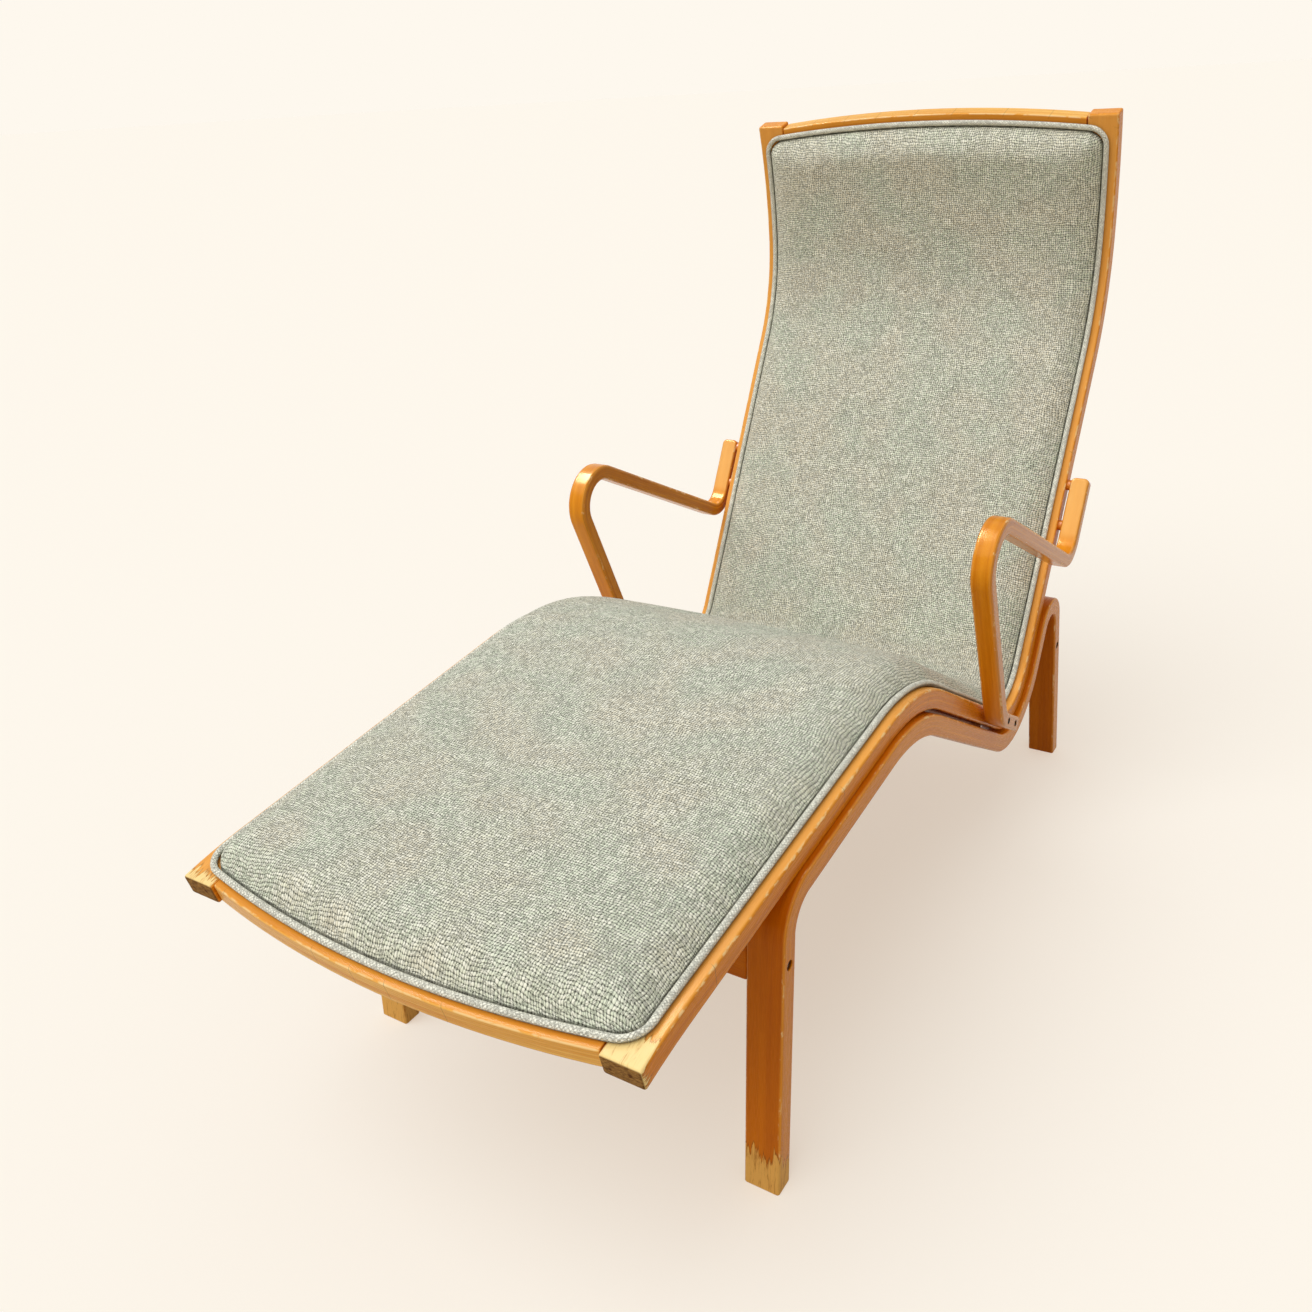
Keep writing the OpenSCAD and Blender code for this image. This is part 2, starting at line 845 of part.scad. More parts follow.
function unit(v) = v / norm(v);
module pad_piping() {
    plan = piping_plan();
    line = [for (p = plan) above(p[0], plan_s(p[0], p[1]), fit + piping_d / 2)];
    n = len(line);
    rings = [
        for (i = [0:n - 1])
            let (
                t = unit(line[(i + 1) % n] - line[(i + n - 1) % n]),
                h = at(rail, plan_s(plan[i][0], plan[i][1]))[1],
                up = [0, -sin(h), cos(h)],
                out = unit(cross(t, up)),
                lift = cross(out, t)
            )
            for (k = [0:piping_sides - 1])
                let (a = 360 * k / piping_sides)
                line[i] + piping_d / 2 * (cos(a) * out + sin(a) * lift)
    ];
    faces = [
        for (i = [0:n - 1], k = [0:piping_sides - 1])
            let (
                j = (i + 1) % n,
                m = (k + 1) % piping_sides,
                a = i * piping_sides + k,
                b = i * piping_sides + m,
                c = j * piping_sides + m,
                d = j * piping_sides + k
            )
            each [[a, b, c], [a, c, d]]
    ];
    color(fabric)
        polyhedron(rings, faces);
}

side_rail_left();
side_rail_right();
foot_rail();
head_rail();
base_strip_left();
base_strip_right();
front_stretcher();
rear_stretcher();
arm_left();
arm_right();
pad_cover();
pad_piping();
pad_foam();
pad_lining();
webbing_straps();
webbing_clips();
cross_rail_dowels();
stretcher_dowels();
stretcher_bolts();
stretcher_barrel_nuts();
rail_screws();
arm_foot_screws();
arm_back_screws();
arm_spacers();
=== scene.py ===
"""Looks of a high-backed lounge chair in bent laminated wood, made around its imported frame."""

import math
from collections import namedtuple

import bmesh
import bpy
from bpy.props import FloatProperty, FloatVectorProperty, PointerProperty
from mathutils import Matrix, Vector


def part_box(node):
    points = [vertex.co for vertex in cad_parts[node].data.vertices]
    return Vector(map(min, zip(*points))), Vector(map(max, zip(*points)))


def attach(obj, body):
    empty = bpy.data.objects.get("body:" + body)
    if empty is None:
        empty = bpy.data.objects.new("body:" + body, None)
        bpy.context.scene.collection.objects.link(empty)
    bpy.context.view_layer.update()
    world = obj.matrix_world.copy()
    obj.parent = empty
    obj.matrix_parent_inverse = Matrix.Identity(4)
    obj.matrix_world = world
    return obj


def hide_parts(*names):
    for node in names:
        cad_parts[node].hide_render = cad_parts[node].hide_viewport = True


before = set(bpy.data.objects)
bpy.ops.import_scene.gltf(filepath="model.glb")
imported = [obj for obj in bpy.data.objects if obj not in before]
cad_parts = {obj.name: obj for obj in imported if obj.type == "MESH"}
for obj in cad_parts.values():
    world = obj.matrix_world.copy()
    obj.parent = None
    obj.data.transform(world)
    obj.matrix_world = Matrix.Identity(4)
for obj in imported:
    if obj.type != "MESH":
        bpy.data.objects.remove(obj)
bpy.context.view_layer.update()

bl_info = {
    "name": "Bentwood Lounge Chair",
    "version": (1, 0, 0),
    "blender": (4, 5, 0),
    "location": "3D View > Sidebar > Lounge Chair",
    "description": "Lacquered laminated wood and a piped woven pad around the chair's frame",
    "category": "Object",
}

BODY = "root"
HANDS = (("right", 1), ("left", -1))

# Planes across the chair, from the frame
RAIL_IN, RAIL_OUT = (corner.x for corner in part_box("side_rail_right"))
BASE_IN, BASE_OUT = (corner.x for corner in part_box("base_strip_right"))
ARM_IN, ARM_OUT = (corner.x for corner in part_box("arm_right"))

# Side rails, as in the frame: thickness, lengths, slopes and bend radii along the sitting line
RAIL_T = 0.026
KNEE_H = 0.441
TOE_L, REST_L, SEAT_L, BACK_L, HEAD_L = 0.079, 0.456, 0.317, 0.486, 0.182
TOE_SLOPE, REST_SLOPE, SEAT_SLOPE = (math.radians(a) for a in (13.3, 6.3, 31))
BACK_SLOPE, NECK_SLOPE, HEAD_SLOPE = (math.radians(a) for a in (61.5, 94, 107))
KNEE_R, HIP_R, NECK_R = 0.294, 0.083, 0.301

# Cross rails: section and set-back, then the bow and the joint's gap of each
CROSS_W, CROSS_T, CROSS_SET, SAW_SPARE = 0.036, 0.025, 0.004, 0.01
FOOT_BOW, HEAD_BOW, FOOT_GAP, HEAD_GAP = 0.024, 0.014, 0.0009, 0.0016

# Base strips, and the fillers that close the gap under the seat
BASE_T, SEAT_GAP, LEG_SET = 0.027, 0.006, 0.281
FRONT_RAKE, REAR_RAKE = math.radians(3.2), math.radians(15)
ARCH_L, SHOULDER_R, ARCH_R = 0.318, 0.063, 0.055
FILLER_W, FILLER_FIT, FILLER_SET = 0.008, 0.0004, 0.006

# Arms
ARM_T, ARM_H, ARM_FOOT, ARM_TAIL_L, ARM_REAR_L = 0.0215, 0.595, 0.203, 0.086, 0.094
ARM_LEAN, ARM_FALL = math.radians(23.4), math.radians(26.4)
ARM_R, ARM_HEEL_R, ARM_ELBOW_R, ARM_END_R = 0.057, 0.060, 0.028, 0.008

# Stretchers, bolts and screws; some screws are placed by their share of a straight
STRETCHER_H, STRETCHER_T = 0.058, 0.023
FRONT_BOLT_H, REAR_BOLT_H = 0.300, 0.238
BOLT_RECESS_R, BOLT_RECESS = 0.006, 0.008
SCREW_RECESS_R, SCREW_RECESS = 0.00525, 0.007
COUNTERSINK_R, COUNTERSINK = 0.0053, 0.0032
HOLE_SIDES, MOUTH_R = 32, 0.0004
TAIL_SCREWS, ARM_BACK_SCREWS = (0.020, 0.062), (0.12, 0.8)
BEARER_SCREWS, RISER_SCREWS = (0.12, 0.88), (0.3, 0.98)

# Pad, lining and webbing
PAD_SIDE, PAD_END, PIPING_R, PAD_CORNER_R, LINING_END = 0.011, 0.008, 0.004, 0.027, 0.032
PAD_T, PAD_SOFT, PAD_EDGE_T, PAD_CROWN = 0.0335, 0.042, 0.005, 0.005
PAD_BOW_L, PAD_LIP, SEWN_W, SETTLE_FRAMES = 0.130, 0.002, 0.004, 20
PAD_COLUMNS, PAD_ROWS, PIPING_TURNS, PIPING_SIDES = 48, 165, 840, 12
FIT, LINING_T = 0.0004, 0.001
UNDERSIDE = FIT + LINING_T + FIT
STRAP_N, STRAP_W, STRAP_T, STRAP_DROP, STRAP_MARGIN = 16, 0.050, 0.002, 0.007, 0.100
CLIP_L, CLIP_GAP, POCKET_H, POCKET_LIP = 0.012, 0.0016, 0.0056, 0.0003

# Small arrises: of sawn ends, fillers, lining and straps
CROSS_SAWN_R, LEG_SAWN_R, FILLER_R, LINING_R, STRAP_R = 0.0008, 0.0012, 0.0004, 0.0003, 0.0005

BEND_STEP = math.radians(2.5)
PLY_START = 0.0004

# The stage: rays that see its pale colour as it is, share of light that the floor throws
# back in red, green and blue, and watts of the mirrored lamp at level 1
RAYS = ("Camera", "Glossy", "Transmission")
BOUNCE, PANEL_WATTS = (0.5, 0.43, 0.33), 136


# The tracks: bent lines in the side view, drawn in Y and Z

Move = namedtuple("Move", "point heading length turn start")


def ahead(heading):
    return Vector((math.cos(heading), math.sin(heading)))


def beside(heading):
    return Vector((math.sin(heading), -math.cos(heading)))


def wrapped(angle):
    return (angle + math.pi) % (2 * math.pi) - math.pi


def arc(radius, turn):
    return (radius * abs(turn), turn)


class Track:
    """Straights and bends, one after another. The strip's thickness lies below it."""

    def __init__(self, start, heading, steps):
        self.moves = []
        self.length = 0.0
        point = Vector(start)
        for length, turn in steps:
            self.moves.append(Move(point, heading, length, turn, self.length))
            point, heading = self.on_move(self.moves[-1], length)
            self.length += length

    @staticmethod
    def on_move(move, along):
        if move.turn == 0:
            return move.point + along * ahead(move.heading), move.heading
        start, radius = move.heading, move.length / move.turn
        end = start + along / radius
        swing = Vector((math.sin(end) - math.sin(start), math.cos(start) - math.cos(end)))
        return move.point + radius * swing, end

    def at(self, along):
        for move in self.moves:
            if along <= move.start + move.length or move is self.moves[-1]:
                return self.on_move(move, along - move.start)

    def place(self, flat, x=0.0):
        """Where a point of the straight strip goes once the strip is bent."""
        point, heading = self.at(flat[1])
        bent = point - flat[2] * beside(heading)
        return Vector((x + flat[0], bent.x, bent.y))

    def crossing(self, along, height):
        """The seat of a board that lies across the chair, its outer face at this height."""
        point, heading = self.at(along)
        here = Matrix.Translation((0.0, point.x, point.y)) @ Matrix.Rotation(heading, 4, "X")
        lift = Matrix.Translation((0.0, 0.0, height))
        return here @ lift @ Matrix.Rotation(-math.pi / 2, 4, "Z")

    def locate(self, place, middle, x=0.0):
        """The straight strip's point that lies at this place; middle is the likely height."""
        target = Vector((place[1], place[2]))
        found = []
        for move in self.moves:
            if move.turn == 0:
                along = (target - move.point).dot(ahead(move.heading))
            else:
                radius = move.length / move.turn
                spoke = (target - move.point + radius * beside(move.heading)) / radius
                along = wrapped(math.atan2(spoke.x, -spoke.y) - move.heading) * radius
            low = -1.0 if move is self.moves[0] else 0.0
            high = move.length + 1.0 if move is self.moves[-1] else move.length
            along = min(max(along, low), high)
            foot, facing = self.on_move(move, along)
            height = (foot - target).dot(beside(facing))
            miss = abs((target - foot).dot(ahead(facing)))
            flat = Vector((place[0] - x, move.start + along, height))
            found.append((5 * miss + abs(height - middle), flat))
        return min(found, key=lambda guess: guess[0])[1]

    def stations(self):
        """Places where the strip is cut across so that it can bend."""
        places = set()
        for move in self.moves:
            count = max(1, math.ceil(abs(move.turn) / BEND_STEP))
            places |= {round(move.start + move.length * k / count, 6) for k in range(count + 1)}
        return sorted(places)


def shifted(line, depth):
    return (line[0] + depth * beside(line[1]), line[1])


def meet(first, second):
    gap = second[0] - first[0]
    a, b = ahead(first[1]), ahead(second[1])
    return first[0] + a * (gap.cross(b) / a.cross(b))


def rounded(corners, radii):
    """Track round a list of corners, with a bend radius for each inner corner."""
    runs = [b - a for a, b in zip(corners, corners[1:])]
    headings = [math.atan2(run.y, run.x) for run in runs]
    turns = [wrapped(b - a) for a, b in zip(headings, headings[1:])]
    backs = [0.0] + [r * math.tan(abs(t) / 2) for r, t in zip(radii, turns)] + [0.0]
    steps = []
    for i, run in enumerate(runs):
        steps.append((run.length - backs[i] - backs[i + 1], 0.0))
        if i < len(turns):
            steps.append(arc(radii[i], turns[i]))
    return Track(corners[0], headings[0], steps)


RAIL_STEPS = [
    (TOE_L, REST_SLOPE - TOE_SLOPE),
    (REST_L, 0.0),
    arc(KNEE_R, -REST_SLOPE - SEAT_SLOPE),
    (SEAT_L, 0.0),
    arc(HIP_R, SEAT_SLOPE + BACK_SLOPE),
    (BACK_L, 0.0),
    arc(NECK_R, NECK_SLOPE - BACK_SLOPE),
    (HEAD_L, HEAD_SLOPE - NECK_SLOPE),
]

# Moves that are named below: the rails' first, then the base strips'
REST, KNEE, SEAT, BACK, NECK = 1, 2, 3, 5, 6
BEARER, SADDLE, RISER = 2, 4, 6


def make_rail_track():
    """The sitting line, with the chair's middle at the origin and the knee at its height."""
    raw = Track((0.0, 0.0), TOE_SLOPE, RAIL_STEPS)
    front = raw.at(CROSS_SET - FOOT_BOW)[0].x
    back = raw.moves[NECK].point.x + NECK_R * (1 - math.sin(BACK_SLOPE)) + RAIL_T
    crest = raw.moves[KNEE].point.y + KNEE_R * (1 - math.cos(REST_SLOPE))
    return Track((-(front + back) / 2, KNEE_H - crest), TOE_SLOPE, RAIL_STEPS)


def make_base_track():
    """Outer line of the base strip: front leg, bearer, dip, arch and rear leg."""
    moves = rail_track.moves
    back = (moves[BACK].point, BACK_SLOPE)
    floor = (Vector((0.0, 0.0)), 0.0)
    bearer = shifted((moves[REST].point, REST_SLOPE), RAIL_T)
    under_seat = shifted((moves[SEAT].point, -SEAT_SLOPE), RAIL_T + SEAT_GAP)
    leg_line = (Vector((moves[KNEE].point.x - LEG_SET, 0.0)), math.pi / 2)
    front = meet(bearer, leg_line)
    hip = meet(under_seat, shifted(back, RAIL_T))
    arch = hip + ARCH_L * ahead(BACK_SLOPE)
    corners = [
        meet((front, math.pi / 2 - FRONT_RAKE), floor),
        front,
        meet(bearer, under_seat),
        hip,
        arch,
        meet((arch, REAR_RAKE - math.pi / 2), floor),
    ]
    hip_r = HIP_R + RAIL_T + SEAT_GAP / 2
    return rounded(corners, [SHOULDER_R, KNEE_R - RAIL_T - SEAT_GAP, hip_r, ARCH_R])


def make_arm_track():
    """Outer line of the arm: tail, front upright, arm and rear upright."""
    inset = (RAIL_T - ARM_T) / 2
    tail = shifted((rail_track.moves[SEAT].point, -SEAT_SLOPE), RAIL_T - inset)
    rear = shifted((rail_track.moves[BACK].point, BACK_SLOPE), inset)
    foot = tail[0] + ARM_FOOT * ahead(-SEAT_SLOPE)
    upright = (foot, math.pi / 2 + ARM_LEAN)
    centre = meet(shifted(upright, ARM_R), (Vector((0.0, ARM_H - ARM_R)), 0.0))
    top = shifted((centre, -ARM_FALL), -ARM_R)
    elbow = meet(top, rear)
    elbow_back = ARM_ELBOW_R * math.tan((BACK_SLOPE + ARM_FALL) / 2)
    corners = [
        foot + ARM_TAIL_L * ahead(-SEAT_SLOPE),
        foot,
        meet(upright, top),
        elbow,
        elbow + (elbow_back + ARM_REAR_L) * ahead(BACK_SLOPE),
    ]
    return rounded(corners, [ARM_HEEL_R, ARM_R, ARM_ELBOW_R])


def bow_radius(bow):
    return (RAIL_IN ** 2 + bow ** 2) / (2 * bow)


rail_track = make_rail_track()
base_track = make_base_track()
arm_track = make_arm_track()
FRONT_BOLT_S = FRONT_BOLT_H / math.cos(FRONT_RAKE)
REAR_BOLT_S = base_track.length - REAR_BOLT_H / math.cos(REAR_RAKE)
STRAP_PITCH = (rail_track.length - 2 * STRAP_MARGIN) / (STRAP_N - 1)
FOOT_R, HEAD_R = bow_radius(FOOT_BOW), bow_radius(HEAD_BOW)
FOOT_CENTRE = CROSS_SET - FOOT_BOW + FOOT_R
HEAD_CENTRE = rail_track.length - CROSS_SET + HEAD_BOW - HEAD_R


# Shader maths


def maths(operation, turned=False):
    """An operator that adds a Math node; turned puts the value itself last."""
    def method(self, *others):
        values = [*others, self] if turned else [self, *others]
        return self.finish.node("ShaderNodeMath", {"operation": operation}, values)
    return method


class Value:
    """A number in a material. Its operators add Math nodes."""

    def __init__(self, finish, socket):
        self.finish = finish
        self.socket = socket

    __add__ = __radd__ = maths("ADD")
    __sub__, __rsub__ = maths("SUBTRACT"), maths("SUBTRACT", turned=True)
    __mul__ = __rmul__ = maths("MULTIPLY")
    __truediv__, __pow__ = maths("DIVIDE"), maths("POWER")
    __abs__, __floor__ = maths("ABSOLUTE"), maths("FLOOR")
    part, cosine = maths("FRACT"), maths("COSINE")
    over, under = maths("MAXIMUM"), maths("MINIMUM")

    def step(self, low, high):
        """0 below low, 1 above high and a smooth rise between them."""
        settings = {"interpolation_type": "SMOOTHSTEP"}
        return self.finish.node("ShaderNodeMapRange", settings, [self, low, high, 0.0, 1.0])


class Nodes:
    """The nodes of a material or world."""

    def __init__(self, owner):
        owner.use_nodes = True
        self.nodes = owner.node_tree.nodes
        self.links = owner.node_tree.links

    def node(self, kind, settings, inputs, output=0):
        """Adds a node; inputs are values or links by place or, in a dict, by name."""
        made = self.nodes.new(kind)
        for name, value in settings.items():
            setattr(made, name, value)
        pairs = inputs.items() if isinstance(inputs, dict) else enumerate(inputs)
        for key, value in pairs:
            self.feed(made.inputs[key], value)
        return Value(self, made.outputs[output])

    def feed(self, socket, value):
        if isinstance(value, Value):
            self.links.new(value.socket, socket)
        elif socket.type == "RGBA":
            socket.default_value = (*value[:3], 1.0)
        else:
            socket.default_value = value

    def seen(self):
        """1 for the rays that see the stage's pale colour, 0 for those that carry light."""
        first, *others = (
            self.node("ShaderNodeLightPath", {}, [], f"Is {ray} Ray") for ray in RAYS
        )
        for ray in others:
            first = first.over(ray)
        return first


class Finish(Nodes):
    """A material whose surface is built up from values, noises and mixes."""

    def __init__(self, name):
        self.material = bpy.data.materials.new(name)
        super().__init__(self.material)
        self.shader = self.nodes["Principled BSDF"]

    def set(self, **inputs):
        """Feeds the shader's own sockets, named with _ for a space."""
        for name, value in inputs.items():
            self.feed(self.shader.inputs[name.replace("_", " ")], value)

    def attribute(self, name, output):
        return self.node("ShaderNodeAttribute", {"attribute_name": name}, [], output)

    def laid(self):
        """The place on the straight strip or flat cloth, as three values."""
        return self.split(self.attribute("laid", "Vector"))

    def own_place(self):
        """The place in the piece's own coordinates, as three values."""
        return self.split(self.node("ShaderNodeTexCoord", {}, [], "Object"))

    def split(self, vector):
        made = self.nodes.new("ShaderNodeSeparateXYZ")
        self.feed(made.inputs[0], vector)
        return [Value(self, socket) for socket in made.outputs]

    def vector(self, x, y, z):
        return self.node("ShaderNodeCombineXYZ", {}, [x, y, z])

    def noise(self, x, y, z, detail=2.0, rough=0.5, distort=0.0):
        inputs = {
            "Vector": self.vector(x, y, z), "Scale": 1.0, "Detail": detail,
            "Roughness": rough, "Distortion": distort,
        }
        return self.node("ShaderNodeTexNoise", {"noise_dimensions": "3D"}, inputs)

    def mix(self, share, first, second):
        inputs = {0: share, 6: first, 7: second}
        return self.node("ShaderNodeMix", {"data_type": "RGBA"}, inputs, 2)

    def bump(self, height, distance, strength):
        inputs = {"Strength": strength, "Distance": distance, "Height": height}
        self.set(Normal=self.node("ShaderNodeBump", {}, inputs))


# Boards and strips


def everything(bm):
    return bm.verts[:] + bm.edges[:] + bm.faces[:]


def round_edges(bm, edges, radius, segments=3):
    bmesh.ops.bevel(
        bm, geom=edges, offset=radius, offset_type="OFFSET", affect="EDGES",
        segments=segments, profile=0.5, material=-1,
    )


def board(width, thickness, start, end, arris, end_radius=0.0):
    """A straight board: X across, Y along, its outer face at Z 0 and its thickness below."""
    bm = bmesh.new()
    place = Matrix.Translation((0.0, (start + end) / 2, -thickness / 2))
    size = Matrix.Diagonal((width, end - start, thickness, 1.0))
    bmesh.ops.create_cube(bm, size=1.0, matrix=place @ size)
    if end_radius:
        upright = [e for e in bm.edges if all(v.co.y > end - 1e-4 for v in e.verts)]
        upright = [e for e in upright if abs(e.verts[0].co.x - e.verts[1].co.x) < 1e-5]
        round_edges(bm, upright, end_radius, 6)
    sharp = [e for e in bm.edges if e.calc_face_angle() > math.radians(40)]
    round_edges(bm, sharp, arris)
    return bm


def slice_across(bm, axis, places):
    """Cuts the mesh, without parting it, by planes square to one axis."""
    normal = Vector((0.0, 0.0, 0.0))
    normal[axis] = 1.0
    for place in places:
        bmesh.ops.bisect_plane(
            bm, geom=everything(bm), dist=1e-6, plane_co=normal * place, plane_no=normal
        )


def isolate(bm, place, normal, half_along, half_across):
    """Cuts round a patch of a face, and returns it."""
    across = 2 if abs(normal.x) > 0.5 else 0
    slice_across(bm, 1, [place.y - half_along, place.y + half_along])
    slice_across(bm, across, [place[across] - half_across, place[across] + half_across])
    bm.normal_update()
    facing = [f for f in bm.faces if f.normal.dot(normal) > 0.99]
    return min(facing, key=lambda f: (f.calc_center_median() - place).length)


def sink_pocket(bm, place, normal, half_along, half_across, depth):
    """A square-cornered pocket in a face."""
    face = isolate(bm, place, normal, half_along, half_across)
    bmesh.ops.inset_individual(bm, faces=[face], thickness=POCKET_LIP, depth=0.0)
    bmesh.ops.inset_individual(bm, faces=[face], thickness=0.0, depth=-depth)


def sink_hole(bm, place, normal, radius, depth):
    """A round recess in a face."""
    patch = radius * 1.3
    face = isolate(bm, place, normal, patch, patch)
    sides = face.edges[:]
    bmesh.ops.delete(bm, geom=[face], context="FACES_ONLY")
    bmesh.ops.bisect_edges(bm, edges=sides, cuts=HOLE_SIDES // 4 - 1)
    frame_edges = [e for e in bm.edges if e.is_boundary]
    turn = normal.to_track_quat("Z", "Y").to_matrix().to_4x4()
    bmesh.ops.create_circle(
        bm, cap_ends=False, radius=radius, segments=HOLE_SIDES,
        matrix=Matrix.Translation(place) @ turn @ Matrix.Rotation(math.pi / 4, 4, "Z"),
    )
    rim = [e for e in bm.edges if e.is_wire]
    bmesh.ops.bridge_loops(bm, edges=frame_edges + rim)
    walls = bmesh.ops.extrude_edge_only(bm, edges=rim)["geom"]
    low_verts = [g for g in walls if isinstance(g, bmesh.types.BMVert)]
    bmesh.ops.translate(bm, vec=-normal * depth, verts=low_verts)
    low_rim = [g for g in walls if isinstance(g, bmesh.types.BMEdge) and g.is_boundary]
    bmesh.ops.edgeloop_fill(bm, edges=low_rim)
    round_edges(bm, rim, MOUTH_R, 2)


def bend(bm, track, x):
    """Lays a straight strip along its track."""
    slice_across(bm, 1, track.stations())
    for vert in bm.verts:
        vert.co = track.place(vert.co, x)


def cut_away(bm, place, normal, arris):
    """Saws off what lies beyond a plane, and eases the edges of the cut."""
    cut = bmesh.ops.bisect_plane(
        bm, geom=everything(bm), dist=1e-6, plane_co=place, plane_no=normal, clear_outer=True
    )
    rim = [g for g in cut["geom_cut"] if isinstance(g, bmesh.types.BMEdge)]
    bmesh.ops.edgeloop_fill(bm, edges=rim)
    round_edges(bm, [e for e in rim if e.is_valid], arris, 2)


def join(bm, part):
    """Adds one mesh in the making to another."""
    mesh = bpy.data.meshes.new("part")
    part.to_mesh(mesh)
    part.free()
    bm.from_mesh(mesh)
    bpy.data.meshes.remove(mesh)


def finished(name, bm, locate, number, material, nodes, slot, even=True):
    """Makes the object: outward normals, the laid attribute, its finish and its body.

    Even shading keeps flat faces flat beside their rounded arrises.
    """
    bmesh.ops.recalc_face_normals(bm, faces=bm.faces[:])
    layer = bm.loops.layers.float_vector.new("laid")
    laid = {vert: locate(vert.co) for vert in bm.verts}
    for face in bm.faces:
        face.smooth = True
        for loop in face.loops:
            loop[layer] = laid[loop.vert]
    mesh = bpy.data.meshes.new(name)
    bm.to_mesh(mesh)
    bm.free()
    mesh.set_sharp_from_angle(angle=math.radians(50))
    tag = mesh.attributes.new("board", "FLOAT", "POINT")
    tag.data.foreach_set("value", [float(number)] * len(mesh.vertices))
    mesh.materials.append(material)
    piece = bpy.data.objects.new(name, mesh)
    bpy.context.scene.collection.objects.link(piece)
    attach(piece, BODY)
    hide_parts(*nodes)
    if even:
        piece.modifiers.new("Even shading", "WEIGHTED_NORMAL").keep_sharp = True
    return piece


# Finishes


def wood_finish(
    name, tones, width, thickness, arris, length=0.0, foot_wear=(), uneven=0.0, faded=0.0,
    faded_from=-1.0, cracks=0.0, rubbing=0.0, end_grain=False, shine=0.0,
):
    """Lacquered laminated wood. foot_wear lists the strip's ends that are scraped bare."""
    look = bpy.context.scene.chair_wood

    def tone_of(part):
        return getattr(look, tones + part)

    f = Finish(name)
    x, s, d = f.laid()
    tag = f.attribute("board", "Fac")
    half = width / 2
    plies = (d - PLY_START) / look.ply
    ply = math.floor(plies)
    streak = f.noise(x * 45 + tag * 3.7, s * 1.3, ply * 1.7 + tag, 3.0)
    figure = f.noise(x * 210 + tag * 9, s * 5.5, ply * 2.3, 3.0, 0.6, 0.4)
    pores = f.noise(x * 1300, s * 60 + tag, d * 1300, 2.0)
    cloud = f.noise(x * 14 + tag, s * 7, ply * 0.4, 2.0)
    tone = (streak - 0.5) * 0.9 + (figure - 0.5) * 0.8 + (pores - 0.5) * 0.35
    tone = tone + (cloud - 0.5) * 0.5 + 0.5
    colour = f.mix(tone.step(0.12, 0.88), tone_of("dark"), tone_of("light"))
    # Painted highlight: the outer face is painted lighter, in patches, where the light falls on it
    if faded:
        patch = f.noise(x * 60 + tag, s * 14, 3.0, 3.0, 0.6)
        top = d.step(-0.6 * arris, -0.1 * arris) * (patch * 0.7 + 0.55)
        top = top * s.step(faded_from - 0.01, faded_from + 0.01)
        colour = f.mix(top * faded, colour, look.painted_top_highlight)

    # Ply edges and the glue lines between them
    side = abs(x).step(half - 0.65 * arris, half - 0.15 * arris)
    edge_tone = f.noise(s * 3, ply * 5.1 + tag, x * 20, 2.0) * 0.55 + figure * 0.45
    side_colour = f.mix(edge_tone.step(0.32, 0.68), tone_of("side_dark"), tone_of("side_light"))
    colour = f.mix(side, colour, side_colour)
    joint = abs(plies - ply - 0.5).step(0.42, 0.5) * side
    colour = f.mix(joint * 0.4, colour, look.glue)

    # A painted highlight along the arrises, then rubbed lacquer in patches on them
    under = (d * -1).step(thickness - 1.1 * arris, thickness - 0.1 * arris)
    near_face = d.step(-1.15 * arris, -0.15 * arris).over(under)
    near_side = abs(x).step(half - 1.15 * arris, half - 0.15 * arris)
    arris_band = near_face * near_side
    soft_light = f.noise(s * 9 + tag, x * 30, d * 30, 2.0)
    colour = f.mix(arris_band * (soft_light * 0.5 + 0.12), colour, look.painted_arris_highlight)
    rub = f.noise(s * 34 + tag, x * 90, d * 90, 4.0, 0.7)
    wear = arris_band * rub.step(0.56 - rubbing, 0.63 - rubbing)
    colour = f.mix(wear * 0.85, colour, look.worn)
    rough = 0.27 - shine * 0.14 + (pores - 0.5) * 0.12 + wear * 0.25

    if cracks:
        place = f.node(
            "ShaderNodeTexVoronoi",
            {"voronoi_dimensions": "1D", "feature": "DISTANCE_TO_EDGE"},
            {"W": s * 15 + tag * 7.7 + x * 6, "Scale": 1.0, "Randomness": 1.0},
        )
        gate = f.noise(s * 8, x * 30, tag, 1.0).step(0.48, 0.55)
        hair = (1 - place.step(0.0, 0.012)) * gate * abs(x).step(half * 0.6, half * 0.95)
        chip = (1 - place.step(0.02, 0.11)) * gate * arris_band * rub.step(0.4, 0.5)
        colour = f.mix(chip * cracks, colour, look.worn)
        colour = f.mix(hair * cracks * 0.7, colour, look.crack_and_shade)

    # Ends that are scraped bare, with a singed line where the lacquer stops
    for end, reach, side_share in foot_wear:
        away = s if end == 0 else length - s
        jag = f.noise(x * 260 + d * 260, s * 7, tag * 3 + 1, 3.0, 0.6)
        spared = side * (1 - side_share) + tag * uneven
        edge = away + ((jag - 0.5) * 1.8 + spared) * reach
        bare = 1 - edge.step(reach - 0.0008, reach + 0.0008)
        grain = f.noise(x * 320 + d * 300, s * 34, tag * 2, 4.0, 0.7, 0.6)
        raw = f.mix(grain.step(0.24, 0.52), tone_of("bare_dark"), tone_of("bare"))
        singe = (1 - edge.step(reach + 0.0002, reach * 1.16)) * (1 - bare)
        colour = f.mix(singe * 0.55, colour, look.crack_and_shade)
        colour = f.mix(bare, colour, raw)
        rough = rough + bare * 0.25

